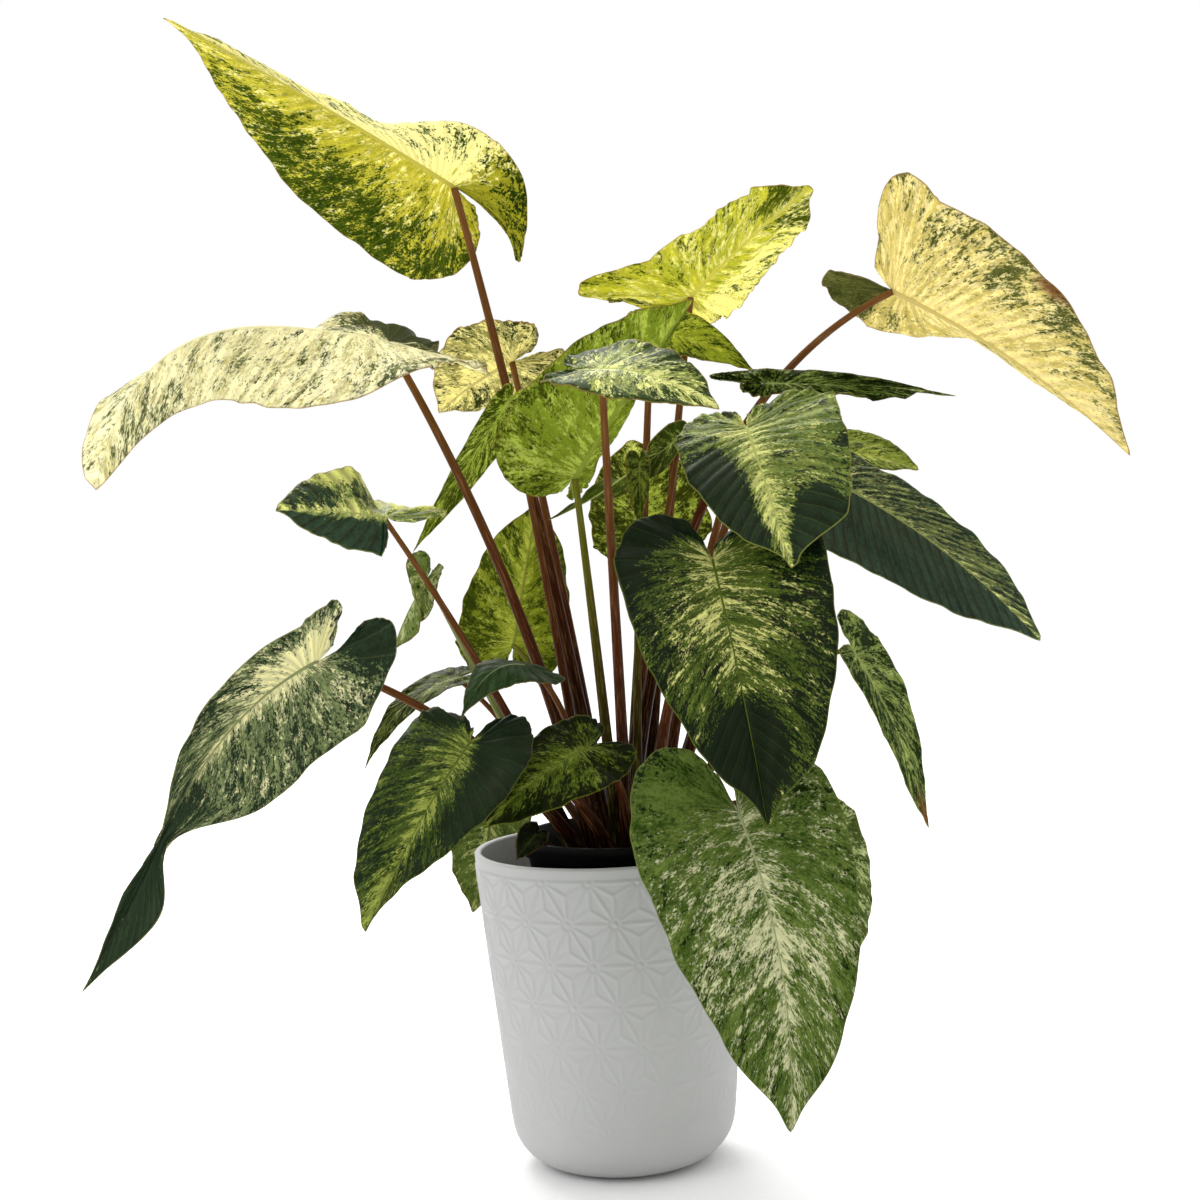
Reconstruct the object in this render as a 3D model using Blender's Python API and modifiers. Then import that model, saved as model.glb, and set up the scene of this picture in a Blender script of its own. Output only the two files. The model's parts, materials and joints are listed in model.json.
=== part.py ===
"""A variegated homalomena in a white cover pot, modelled piece by piece.

Run with: blender --background --python part.py

Every leaf is a blade on its own stalk. A blade starts as a flat heart laid out by
its veins, from the back of the lobes round to the tip, and is then bent in space by
the few values of its row: where the stalk meets it, where its tip is, which way its
upper face looks, and how it folds, arches and twists in between. Stalks rise from
rings round the crown, in soil held by a black grower's pot inside the cover pot.
Lengths in the rows are millimetres and angles are degrees.
"""

from dataclasses import dataclass
from math import cos, degrees, exp, radians, sin, sqrt

import bmesh
import bpy
from mathutils import Vector

MM = 0.001
GAP = 0.3 * MM
MERGE = 0.02 * MM
PLANT = "potted_homalomena"
HELPERS = "helpers"

# Cover pot: a tapered ceramic pot with a rounded foot.
POT_HEIGHT = 220.6 * MM
POT_RIM_RADIUS = 95.0 * MM
POT_FOOT_RADIUS = 75.0 * MM
POT_CORNER = 34.0 * MM
POT_WALL = 5.0 * MM
POT_LIP = 2.0 * MM
POT_SEGMENTS = 48

# Grower's pot: a deep black plastic liner, standing a little to the right.
LINER_X = 12.0 * MM
LINER_TOP = 230.0 * MM
LINER_RIM_RADIUS = 72.0 * MM
LINER_FOOT_RADIUS = 33.0 * MM
LINER_WALL = 1.5 * MM
LINER_BEAD = 2.5 * MM
LINER_BEAD_HEIGHT = 12.0 * MM
LINER_SEGMENTS = 36

SOIL_TOP = 208.0 * MM

# Stalk feet stand on rings round the crown.
CROWN_X = 12.0 * MM
RING_RADII = (0.0, 12.0 * MM, 24.0 * MM, 35.0 * MM, 46.0 * MM)

BLADE_THICKNESS = 1.2 * MM
# Veins on each half, and points from midrib to margin; small leaves have fewer veins.
LEAF_ROWS = 14
SMALL_LEAF_ROWS = 10
SMALL_LEAF_HALF = 25
LEAF_REACHES = 2
# Half the length of a waist or of a splayed lobe's root, as a share of the blade.
WAIST_LENGTH = 0.12
SPLAY_ROOT = 0.12
STALK_POINTS = 9
STALK_FOOT_RADIUS = 4.4 * MM
STALK_TOP_RADIUS = 2.1 * MM
# A stalk's tube has this many extra points in each quarter of its round section.
STALK_RESOLUTION = 2
# The lowest points of a stalk, up to here, are laid level on the soil.
FOOT_FLAT = 3.5 * MM

# Half of a flat heart: (along, across). Behind the stalk the first number is a
# fraction of the lobe, ahead of it a fraction of the length; the second is a
# fraction of the half width.
HEART = (
    (-0.50, 0.05), (-0.86, 0.20), (-1.00, 0.46), (-0.80, 0.74), (-0.25, 0.95),
    (0.12, 1.00), (0.36, 0.90), (0.60, 0.64), (0.82, 0.30), (1.00, 0.00),
)
# The veins up to this share of the margin all start at the stalk.
FAN_SHARE = 0.36


@dataclass(frozen=True)
class Leaf:
    """One leaf. Pairs are (left half, right half), seen from the stalk to the tip."""

    name: str
    attach: tuple           # where the stalk meets the blade
    tip: tuple              # the blade's point
    face: tuple             # bearing and height of where the upper face looks
    half: tuple             # half widths
    lobe: tuple             # how far the lobes reach behind the stalk
    ring: int               # ring of the stalk's foot
    at: float               # bearing of the foot on its ring
    rise: tuple = (0.42, 0.55)   # how far out and up the stalk's bend lies
    full: tuple = (0.2, 0.2)     # how far the margin bulges towards the tip
    fold: tuple = ((8, 8, 8), (8, 8, 8))  # fold of each half at base, middle and tip
    arch: tuple = (8, 0)         # midrib arch out of the blade: centred and late
    sway: tuple = (0, 0)         # midrib bend in the blade: centred and late
    drop: tuple = (0, 0)         # how far the lobes curl under
    splay: tuple = (0, 0)        # how far the lobes spread
    twist: float = 0             # turn of the blade about its midrib
    waist: tuple = (0, 0.6)      # narrowing, and where it lies along the blade
    rolled: bool = False         # a young leaf that is still one spear with its stalk
    stout: float = 1.0           # stalk thickness
    tone: str = "mottled"


LEAVES = (
    Leaf("high_left", (-86, 40, 682), (-279, 20, 805), (80, 35), (46, 90), (90, 34), 1, 180,
         rise=(0.45, 0.55), full=(-0.5, 0.1), fold=((50, 106, 100), (5, 5, 30)), arch=(5, 0),
         drop=(75, 0), stout=1.1, tone="lemon"),
    Leaf("arching_left", (-130, -60, 572), (-311, -140, 484), (-95, 70), (58, 55), (65, 50), 2, 210,
         rise=(0.32, 0.55), full=(0.3, 0.6), fold=((-5, -60, -60), (5, -60, 20)), arch=(38, 25),
         stout=1.1, tone="cream"),
    Leaf("mid_left", (-136, -90, 457), (-205, -100, 465), (-90, 30), (26, 36), (3, 50), 3, 212,
         rise=(0.45, 0.55), full=(0.1, 0.6), fold=((-10, -10, -10), (-44, -5, -10)), arch=(4, 0),
         splay=(0, 0.4), stout=0.8, tone="dark"),
    Leaf("low_left", (-182, -120, 368), (-328, -190, 178), (-80, 35), (54, 26), (56, 30), 3, 228,
         rise=(0.4, 0.72), full=(0.1, -0.2), fold=((-10, -10, -10), (40, 55, 30)), arch=(15, 0),
         sway=(29, -18), splay=(-0.4, 0.5), waist=(0.85, 0.6)),
    Leaf("front_left", (-85, -150, 315), (-148, -230, 215), (-85, 35), (40, 38), (42, 20), 3, 260,
         rise=(0.4, 0.9), full=(-0.4, 0.5), fold=((0, 0, 0), (5, 5, 5)), arch=(14, 0)),
    Leaf("front_centre", (-12, -110, 303), (-80, -150, 260), (-90, 35), (31, 26), (30, 24), 3, 277,
         rise=(0.2, 0.9), fold=((0, 0, 0), (5, 5, 5)), arch=(10, 0), stout=0.8),
    Leaf("front_right", (81, -150, 263), (101, -200, 72), (-90, 10), (60, 72), (35, 54), 3, 300,
         rise=(0.45, 1.3), full=(0.2, 0.25), fold=((10, 10, 10), (10, 10, 10)), arch=(12, 0),
         sway=(-10, 0), drop=(30, 0), stout=1.1),
    Leaf("centre_heart", (73, -130, 421), (96, -190, 259), (-85, 15), (70, 66), (20, 34), 2, 300,
         rise=(0.3, 0.6), full=(0.4, 0.15), fold=((12, 12, 12), (15, 15, 15)), arch=(10, 0),
         stout=1.1, tone="dark"),
    Leaf("upper_heart", (101, -90, 504), (120, -160, 415), (-100, 35), (60, 48), (20, 28), 2, 330,
         rise=(0.3, 0.55), full=(0.7, 0.3), fold=((5, 5, 5), (0, 0, 0)), arch=(10, 0)),
    Leaf("right_dark", (150, 0, 473), (292, -60, 353), (-75, 40), (29, 50), (25, 30), 2, 0,
         rise=(0.35, 0.6), full=(0.5, 0.35), fold=((10, 10, 10), (-15, -15, -15)),
         sway=(-6, 0), tone="dark"),
    Leaf("furled_right", (121, -22, 533), (245, -40, 518), (-90, 20), (10, 10), (40, 18), 1, 0,
         rise=(0.4, 0.5), full=(0, 0), fold=((15, 15, 15), (15, 15, 15)), arch=(5, 0), tone="dark"),
    Leaf("high_right", (210, -10, 592), (356, -60, 473), (75, 35), (38, 72), (46, 37), 0, 0,
         rise=(0.18, 0.82), fold=((10, 52, 60), (5, 5, 5)), arch=(15, 0), splay=(0, 0.9),
         tone="cream"),
    Leaf("right_narrow", (177, 30, 345), (223, 10, 219), (-50, 15), (26, 14), (30, 5), 3, 10,
         rise=(0.35, 1.0), full=(-0.2, 0.6), fold=((5, 5, 5), (0, 0, 0)), stout=0.8, tone="dark"),
    Leaf("crown_top", (76, 70, 600), (161, 20, 668), (100, 30), (44, 38), (12, 54), 2, 60,
         rise=(0.4, 0.5), full=(0.5, 0.4), fold=((20, 20, 20), (25, 60, 58)), arch=(5, 0),
         splay=(0, 0.8), tone="lemon"),
    Leaf("near_top", (8, -170, 543), (77, -215, 514), (-90, 35), (30, 30), (48, 40), 2, 270,
         rise=(0.4, 0.5), full=(0.3, 0.3), fold=((-10, -10, -10), (25, 10, 10)), arch=(10, 0)),
    Leaf("back_left", (-64, 78, 355), (-42, 92, 457), (90, 10), (38, 42), (22, 22), 2, 150,
         rise=(0.5, 0.9), full=(0.4, 0.4), arch=(5, 0), stout=0.8, tone="lemon"),
    Leaf("centre_underside", (-12, -60, 476), (69, -110, 586), (100, 25), (15, 60), (15, 25), 1, 240,
         rise=(0.4, 0.5), full=(0.3, 0.3), fold=((30, 30, 30), (10, 10, 10)), arch=(5, 0),
         tone="lemon"),
    Leaf("pale_back", (-54, 90, 561), (-112, 130, 528), (100, 40), (45, 50), (42, 44), 2, 120,
         rise=(0.4, 0.5), full=(0.3, 0.3), arch=(5, 0), tone="cream"),
    Leaf("dark_centre", (-50, -105, 358), (-91, -140, 328), (-90, 60), (18, 18), (36, 34), 3, 244,
         rise=(0.4, 0.9), full=(0, 0), fold=((-20, -20, -20), (-10, -10, -10)), arch=(15, 0),
         stout=0.7, tone="dark"),
    Leaf("ribbon_left", (-99, -22, 344), (-162, -52, 289), (-120, 50), (13, 16), (18, 22), 3, 178,
         rise=(0.4, 0.7), full=(0, 0), fold=((0, 0, 0), (0, 0, 0)), arch=(14, 0), stout=0.7,
         tone="lemon"),
    Leaf("young_left", (-114, -40, 414), (-139, -56, 366), (-90, 20), (14, 22), (10, 12), 3, 195,
         rise=(0.5, 0.5), full=(0, 0), fold=((50, 50, 50), (50, 50, 50)), arch=(5, 0),
         rolled=True, stout=0.9),
    Leaf("behind_rim", (-86, 110, 243), (-106, 120, 153), (60, 10), (45, 32), (15, 15), 3, 130,
         rise=(0.4, 2.2), full=(0.3, 0.3), arch=(5, 0), stout=0.8),
    Leaf("rim_small", (-50, -50, 238), (-64, -58, 223), (-90, 20), (9, 11), (8, 8), 4, 205,
         rise=(0.4, 0.6), full=(0, 0), arch=(3, 0), rolled=True, stout=0.6, tone="dark"),
    Leaf("back_right", (141, 60, 484), (230, 40, 469), (-80, 50), (26, 22), (20, 26), 2, 30,
         rise=(0.4, 0.5), full=(0.5, 0.5), tone="lemon"),
    Leaf("strap_left", (-54, -10, 531), (-124, -30, 431), (-60, 30), (16, 12), (12, 10), 2, 180,
         rise=(0.4, 0.5), full=(0, 0), fold=((30, 30, 30), (30, 30, 30)), arch=(-6, 0), stout=0.8,
         tone="lemon"),
    Leaf("twisted", (62, 20, 500), (-32, -20, 448), (-90, 30), (12, 12), (10, 10), 1, 120,
         rise=(0.4, 0.5), full=(0, 0), fold=((30, 30, 30), (30, 30, 30)), arch=(-8, 0), twist=360,
         stout=0.8),
    Leaf("young_centre", (32, -30, 484), (30, -42, 439), (-90, 10), (8, 11), (8, 8), 1, 300,
         rise=(0.4, 0.5), full=(0, 0), fold=((30, 30, 30), (30, 30, 30)), arch=(3, 0),
         rolled=True, stout=0.8, tone="lemon"),
    Leaf("back_centre", (35, 70, 430), (28, 55, 500), (90, 10), (50, 38), (15, 15), 2, 90,
         rise=(0.4, 0.5), full=(0.4, 0.4), arch=(5, 0), stout=0.8, tone="lemon"),
    Leaf("back_yellow", (46, 60, 577), (118, 40, 543), (-90, 40), (22, 22), (24, 20), 1, 60,
         rise=(0.4, 0.5), full=(0, 0), tone="lemon"),
    Leaf("behind_right", (155, 60, 214), (170, 50, 118), (-60, 10), (28, 28), (20, 20), 3, 40,
         rise=(0.35, 10), full=(0.4, 0.4), arch=(5, 0), stout=0.8, tone="dark"),
)

TONES = {
    "mottled": (0.13, 0.24, 0.07),
    "dark": (0.03, 0.09, 0.05),
    "lemon": (0.42, 0.47, 0.10),
    "cream": (0.66, 0.63, 0.38),
}
STALK_COLOUR = (0.16, 0.07, 0.035)
POT_COLOUR = (0.60, 0.61, 0.61)
LINER_COLOUR = (0.012, 0.012, 0.013)
SOIL_COLOUR = (0.02, 0.014, 0.010)
LEAF_ROUGHNESS = 0.45
STALK_ROUGHNESS = 0.5
POT_ROUGHNESS = 0.6
LINER_ROUGHNESS = 0.45
SOIL_ROUGHNESS = 0.95


def clear_scene():
    """Remove every object of the start-up scene."""
    for obj in list(bpy.data.objects):
        bpy.data.objects.remove(obj, do_unlink=True)


def add_object(name, mesh, colour, roughness):
    """Link a mesh into the plant's collection, with a material of its own."""
    material = bpy.data.materials.new(name)
    material.use_nodes = True
    shader = material.node_tree.nodes["Principled BSDF"]
    shader.inputs["Base Color"].default_value = (*colour, 1.0)
    shader.inputs["Roughness"].default_value = roughness
    mesh.materials.clear()
    mesh.materials.append(material)
    obj = bpy.data.objects.new(name, mesh)
    collection(PLANT).objects.link(obj)
    return obj


def collection(name):
    """The collection of that name, made the first time."""
    found = bpy.data.collections.get(name)
    if found is None:
        found = bpy.data.collections.new(name)
        bpy.context.scene.collection.children.link(found)
    return found


def smoothstep(x):
    """Ease from 0 to 1."""
    x = min(max(x, 0.0), 1.0)
    return x * x * (3 - 2 * x)


def spline_point(points, share):
    """Point at a share of the way along a Catmull-Rom curve through the points."""
    ends = [tuple(2 * a - b for a, b in zip(points[0], points[1])), *points,
            tuple(2 * a - b for a, b in zip(points[-1], points[-2]))]
    spans = len(points) - 1
    place = share * spans
    span = min(int(place), spans - 1)
    f = place - span
    a, b, c, d = ends[span:span + 4]
    return tuple(
        0.5 * (2 * q + (r - p) * f + (2 * p - 5 * q + 4 * r - s) * f ** 2
               + (3 * q - p - 3 * r + s) * f ** 3)
        for p, q, r, s in zip(a, b, c, d)
    )


class Blade:
    """The bent surface of one leaf, in metres."""

    def __init__(self, leaf):
        self.leaf = leaf
        self.attach = Vector(leaf.attach) * MM
        chord = Vector(leaf.tip) * MM - self.attach
        self.length = chord.length
        self.along = chord.normalized()
        bearing, height = (radians(a) for a in leaf.face)
        look = Vector((cos(height) * cos(bearing), cos(height) * sin(bearing), sin(height)))
        self.up = (look - look.dot(self.along) * self.along).normalized()
        self.across = self.along.cross(self.up)

    def heading(self, r):
        """Direction of the midrib at a share of its length."""
        arch, arch_late = (a * MM for a in self.leaf.arch)
        sway, sway_late = (a * MM for a in self.leaf.sway)
        slope, slope_late = 4 * (1 - 2 * r), 6.75 * (2 * r - 3 * r * r)
        return (self.along * self.length + self.up * (arch * slope + arch_late * slope_late)
                + self.across * (sway * slope + sway_late * slope_late)).normalized()

    def flat(self, share, reach, side):
        """Flat place of a vein point: share of the margin, reach from midrib to margin."""
        leaf = self.leaf
        half = leaf.half[side] * MM
        along, across = spline_point(HEART, share)
        across = max(across, 0.0)
        if along > 0.2:
            across = across ** (1 - leaf.full[side])
        scale = leaf.lobe[side] * MM if along < 0 else self.length
        margin = Vector((along * scale, across * half))
        start = Vector((self.length * max(0, (share - FAN_SHARE) / (1 - FAN_SHARE)) ** 1.25, 0))
        span = margin - start
        lag = min(max(share / FAN_SHARE - 0.6, 0), 1)
        bend = start + span / 2 + Vector((-0.10 * lag, 0.06)) * span.y
        return (1 - reach) ** 2 * start + 2 * reach * (1 - reach) * bend + reach ** 2 * margin

    def place(self, share, reach, side):
        """Place in space of a vein point on one half."""
        leaf = self.leaf
        sign = -1 if side == 0 else 1
        half = leaf.half[side] * MM
        u, v = self.flat(share, reach, side)
        behind = max(-u, 0)
        r = min(max(u / self.length, 0), 1)
        arch, arch_late = (a * MM for a in leaf.arch)
        sway, sway_late = (a * MM for a in leaf.sway)
        centred, late = 4 * r * (1 - r), 6.75 * r * r * (1 - r)
        rib = (self.attach + self.along * (self.length * r)
               + self.up * (arch * centred + arch_late * late)
               + self.across * (sway * centred + sway_late * late))
        ahead = self.heading(r)
        across = (self.across - ahead.dot(self.across) * ahead).normalized()
        up = across.cross(ahead)
        turn = radians(leaf.twist) * smoothstep(r)
        across, up = across * cos(turn) + up * sin(turn), up * cos(turn) - across * sin(turn)
        v += leaf.splay[side] * behind * min(v / (SPLAY_ROOT * half), 1)
        depth, middle = leaf.waist
        v *= 1 - depth * exp(-(((r - middle) / WAIST_LENGTH) ** 2))
        base, mid, end = (radians(a) for a in leaf.fold[side])
        fold = base + (mid - base) * smoothstep(r / 0.35) + (end - mid) * smoothstep((r - 0.5) / 0.5)
        curl = radians(leaf.drop[side]) * behind / (leaf.lobe[side] * MM)
        back = behind * (sin(curl) / curl if curl > 1e-6 else 1)
        under = behind * sin(curl / 2)
        return (rib - ahead * back - up * under
                + across * (sign * v * cos(fold)) + up * (v * sin(fold)))


def blade_surface(leaf, rows, reaches):
    """Grid of the leaf, bent in place: rows of veins, from left margin to right margin."""
    blade = Blade(leaf)
    bm = bmesh.new()
    bmesh.ops.create_grid(bm, x_segments=rows, y_segments=2 * reaches, size=0.5)
    for vert in bm.verts:
        share = round((vert.co.x + 0.5) * rows) / rows
        reach = round(vert.co.y * 2 * reaches) / reaches
        side = 0 if reach > 0 else 1
        vert.co = blade.place(share, abs(reach), side)
    bmesh.ops.remove_doubles(bm, verts=bm.verts, dist=MERGE)
    mesh = bpy.data.meshes.new("blade")
    bm.to_mesh(mesh)
    bm.free()
    mesh.shade_smooth()
    return mesh, blade


def blade_object(leaf, name):
    """Closed blade of even thickness."""
    rows = SMALL_LEAF_ROWS if max(leaf.half) < SMALL_LEAF_HALF else LEAF_ROWS
    mesh, blade = blade_surface(leaf, rows, LEAF_REACHES)
    obj = add_object(name, mesh, TONES[leaf.tone], LEAF_ROUGHNESS)
    solid = obj.modifiers.new("thickness", "SOLIDIFY")
    solid.thickness = BLADE_THICKNESS
    solid.offset = 0.0
    return obj, blade


def stalk_mesh(leaf, blade, overlap):
    """Tapered round stalk from the soil to the underside of its blade."""
    ring = RING_RADII[leaf.ring]
    angle = radians(leaf.at)
    foot = Vector((CROWN_X + ring * cos(angle), ring * sin(angle), SOIL_TOP + GAP))
    out, up = leaf.rise
    bend = Vector((foot.x + out * (blade.attach.x - foot.x),
                   foot.y + out * (blade.attach.y - foot.y),
                   foot.z + up * (blade.attach.z - foot.z)))
    under = blade.across.cross(blade.heading(0.0)) * -1
    arrive = (blade.attach - bend).normalized()
    lean = sqrt(max(0.0, 1 - arrive.dot(under) ** 2))
    clear = BLADE_THICKNESS / 2 + GAP + STALK_TOP_RADIUS * leaf.stout * lean
    end = blade.attach + under * (0.0 if overlap else clear)
    curve = bpy.data.curves.new("stalk", "CURVE")
    curve.dimensions = "3D"
    curve.bevel_depth = 1.0
    curve.bevel_resolution = STALK_RESOLUTION
    curve.use_fill_caps = True
    spline = curve.splines.new("POLY")
    spline.points.add(STALK_POINTS - 1)
    for i, point in enumerate(spline.points):
        t = i / (STALK_POINTS - 1)
        place = (1 - t) ** 2 * foot + 2 * t * (1 - t) * bend + t * t * end
        point.co = (*place, 1.0)
        taper = STALK_FOOT_RADIUS * (1 - t) + STALK_TOP_RADIUS * t
        point.radius = taper * leaf.stout
    holder = bpy.data.objects.new("stalk", curve)
    bpy.context.scene.collection.objects.link(holder)
    graph = bpy.context.evaluated_depsgraph_get()
    mesh = bpy.data.meshes.new_from_object(holder.evaluated_get(graph))
    bpy.data.objects.remove(holder, do_unlink=True)
    bm = bmesh.new()
    bm.from_mesh(mesh)
    bmesh.ops.remove_doubles(bm, verts=bm.verts, dist=MERGE)
    flatten_foot(bm, foot.z)
    bm.to_mesh(mesh)
    bm.free()
    mesh.shade_smooth()
    return mesh


def flatten_foot(bm, level):
    """Lay the stalk's foot level on the soil it stands on."""
    for vert in bm.verts:
        if vert.co.z < level + FOOT_FLAT:
            vert.co.z = level


def stalk_object(leaf, blade):
    """The stalk as a piece of its own."""
    mesh = stalk_mesh(leaf, blade, False)
    return add_object(f"petiole_{leaf.name}", mesh, STALK_COLOUR, STALK_ROUGHNESS)


def rolled_leaf(leaf):
    """A young leaf whose blade and stalk are still one spear."""
    obj, blade = blade_object(leaf, f"leaf_{leaf.name}")
    tool = bpy.data.objects.new(f"stalk_of_{leaf.name}", stalk_mesh(leaf, blade, True))
    collection(HELPERS).objects.link(tool)
    tool.hide_render = True
    tool.display_type = "WIRE"
    join = obj.modifiers.new("stalk", "BOOLEAN")
    join.operation = "UNION"
    join.use_self = True
    join.object = tool
    return obj


def turned(name, profile, segments, colour, roughness, x=0.0):
    """A round piece: the profile runs from the axis out, over the top and down outside."""
    bm = bmesh.new()
    verts = [bm.verts.new((r, 0, z)) for r, z in profile]
    for a, b in zip(verts, verts[1:]):
        bm.edges.new((a, b))
    mesh = bpy.data.meshes.new(name)
    bm.to_mesh(mesh)
    bm.free()
    obj = add_object(name, mesh, colour, roughness)
    obj.location.x = x
    screw = obj.modifiers.new("turn", "SCREW")
    screw.steps = segments
    screw.render_steps = segments
    screw.use_merge_vertices = True
    screw.merge_threshold = MERGE
    screw.use_smooth_shade = True
    return obj


def arc(centre, radius, start, end, steps):
    """Points on an arc, angles in degrees from +X."""
    points = []
    for i in range(steps + 1):
        a = radians(start + (end - start) * i / steps)
        points.append((centre[0] + radius * cos(a), centre[1] + radius * sin(a)))
    return points


def pot_radius(z, inset=0.0):
    """Radius of the straight pot wall at a height."""
    return POT_FOOT_RADIUS + (POT_RIM_RADIUS - POT_FOOT_RADIUS) * z / POT_HEIGHT - inset


def corner(inset):
    """Rounded foot of the pot wall, from the wall down to the flat, for one inset."""
    slope = (POT_RIM_RADIUS - POT_FOOT_RADIUS) / POT_HEIGHT
    radius = POT_CORNER - inset
    lean = sqrt(1 + slope * slope)
    height = inset + radius
    centre = (pot_radius(height, inset) - radius * lean, height)
    return arc(centre, radius, -degrees(slope), -90, 6)


def build_pot():
    """The white cover pot."""
    inner_rim = (pot_radius(POT_HEIGHT, POT_WALL), POT_HEIGHT - POT_LIP / 2)
    inside = [(0, POT_WALL), *reversed(corner(POT_WALL)), inner_rim]
    lip = [(POT_RIM_RADIUS - POT_WALL + POT_LIP, POT_HEIGHT), (POT_RIM_RADIUS - POT_LIP, POT_HEIGHT)]
    outside = [(POT_RIM_RADIUS, POT_HEIGHT - POT_LIP / 2), *corner(0.0), (0, 0)]
    return turned("pot", inside + lip + outside, POT_SEGMENTS, POT_COLOUR, POT_ROUGHNESS)


def liner_radius(z, inset=0.0):
    """Radius of the grower's pot at a height."""
    floor = POT_WALL + GAP
    share = (z - floor) / (LINER_TOP - floor)
    return LINER_FOOT_RADIUS + (LINER_RIM_RADIUS - LINER_FOOT_RADIUS) * share - inset


def build_liner():
    """The black grower's pot, with a beaded rim."""
    floor = POT_WALL + GAP
    inner_floor = floor + LINER_WALL
    bead_low = LINER_TOP - LINER_BEAD_HEIGHT
    profile = [
        (0, inner_floor),
        (liner_radius(inner_floor, LINER_WALL), inner_floor),
        (liner_radius(LINER_TOP, LINER_WALL), LINER_TOP),
        (LINER_RIM_RADIUS + LINER_BEAD, LINER_TOP),
        (LINER_RIM_RADIUS + LINER_BEAD, bead_low),
        (liner_radius(bead_low), bead_low),
        (liner_radius(floor), floor),
        (0, floor),
    ]
    return turned("grower_pot", profile, LINER_SEGMENTS, LINER_COLOUR, LINER_ROUGHNESS, LINER_X)


def build_soil():
    """The root ball and soil, filling the grower's pot to below its rim."""
    low = POT_WALL + GAP + LINER_WALL + GAP
    inset = LINER_WALL + GAP
    profile = [
        (0, SOIL_TOP),
        (liner_radius(SOIL_TOP, inset), SOIL_TOP),
        (liner_radius(low, inset), low),
        (0, low),
    ]
    return turned("soil", profile, LINER_SEGMENTS, SOIL_COLOUR, SOIL_ROUGHNESS, LINER_X)


def build_leaf(leaf):
    """A blade with its stalk."""
    if leaf.rolled:
        rolled_leaf(leaf)
        return
    _, blade = blade_object(leaf, f"blade_{leaf.name}")
    stalk_object(leaf, blade)


def main():
    """Build the whole plant."""
    clear_scene()
    build_pot()
    build_liner()
    build_soil()
    for leaf in LEAVES:
        build_leaf(leaf)


main()
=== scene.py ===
"""Potted homalomena: the visual model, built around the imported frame.

Thirty leaves stand on their own stalks in a black nursery pot, which sits in a white
cover pot with a pressed star lattice. Every leaf is laid out by its veins, bent in
space by the few values of its row, ribbed, given a real wall and marbled by fields
that run along the same veins. Lengths in the rows are millimetres, angles degrees.
"""

import json
import logging
import math
from collections.abc import Callable
from dataclasses import dataclass, field
from enum import Enum, IntEnum

import bmesh
import bpy
import numpy as np
from mathutils import Matrix, Quaternion, Vector, noise


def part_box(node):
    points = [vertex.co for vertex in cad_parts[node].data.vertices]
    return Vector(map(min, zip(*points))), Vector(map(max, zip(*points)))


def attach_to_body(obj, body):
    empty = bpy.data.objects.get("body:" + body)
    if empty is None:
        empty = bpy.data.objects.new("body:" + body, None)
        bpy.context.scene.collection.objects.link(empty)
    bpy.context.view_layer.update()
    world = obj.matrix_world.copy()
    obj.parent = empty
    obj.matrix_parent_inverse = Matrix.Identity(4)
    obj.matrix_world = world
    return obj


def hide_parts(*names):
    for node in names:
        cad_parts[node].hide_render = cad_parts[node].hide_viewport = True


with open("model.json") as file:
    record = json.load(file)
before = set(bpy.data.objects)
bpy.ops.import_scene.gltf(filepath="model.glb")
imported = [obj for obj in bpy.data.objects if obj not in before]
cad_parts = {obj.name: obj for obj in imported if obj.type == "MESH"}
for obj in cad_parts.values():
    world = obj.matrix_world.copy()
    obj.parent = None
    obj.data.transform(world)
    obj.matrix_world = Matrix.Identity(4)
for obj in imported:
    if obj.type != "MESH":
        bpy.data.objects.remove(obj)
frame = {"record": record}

LOG = logging.getLogger("homalomena")
BODY = "root"
MM = 0.001
GAP = 0.3 * MM
# Points nearer to each other than this are one point.
SAME = 0.001 * MM

Pair = tuple[float, float]
Triple = tuple[float, float, float]
Shape = bmesh.types.BMesh
Tree = bpy.types.NodeTree
Finish = bpy.types.Material

# ---------------------------------------------------------------- helpers


def linear(colour: str) -> tuple[float, ...]:
    """Turn an sRGB hex colour to linear red, green and blue, and an alpha of one."""
    parts = [int(colour[i:i + 2], 16) / 255 for i in (1, 3, 5)]
    return (*(c / 12.92 if c <= 0.04045 else ((c + 0.055) / 1.055) ** 2.4 for c in parts), 1.0)


def mixed(first: str, second: str, share: float) -> str:
    """Mix two hex colours, with this share of the second."""
    pairs = [(int(first[i:i + 2], 16), int(second[i:i + 2], 16)) for i in (1, 3, 5)]
    return "#" + "".join(f"{round(a + (b - a) * share):02x}" for a, b in pairs)


def add_node(tree: Tree, kind: str, sockets: dict, **settings: object) -> bpy.types.Node:
    """Add a shader node with its settings and links.

    Args:
        tree: the node tree.
        kind: the node's type, without the ShaderNode that it starts with.
        sockets: input name or number to a hex colour, another value, or the output or
            the node that feeds it.
        settings: the node's own properties.

    Returns:
        The new node.
    """
    made = tree.nodes.new("ShaderNode" + kind)
    for key, value in settings.items():
        setattr(made, key, value)
    for key, value in sockets.items():
        if isinstance(value, bpy.types.Node):
            value = next(output for output in value.outputs if output.enabled)
        if isinstance(value, bpy.types.NodeSocket):
            tree.links.new(value, made.inputs[key])
        else:
            made.inputs[key].default_value = linear(value) if isinstance(value, str) else value
    return made


def new_material(name: str) -> tuple[Finish, Tree]:
    """Start an empty node material.

    Args:
        name: what the material is.

    Returns:
        The material and its tree.
    """
    material = bpy.data.materials.new(name)
    material.use_nodes = True
    material.node_tree.nodes.clear()
    return material, material.node_tree


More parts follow.
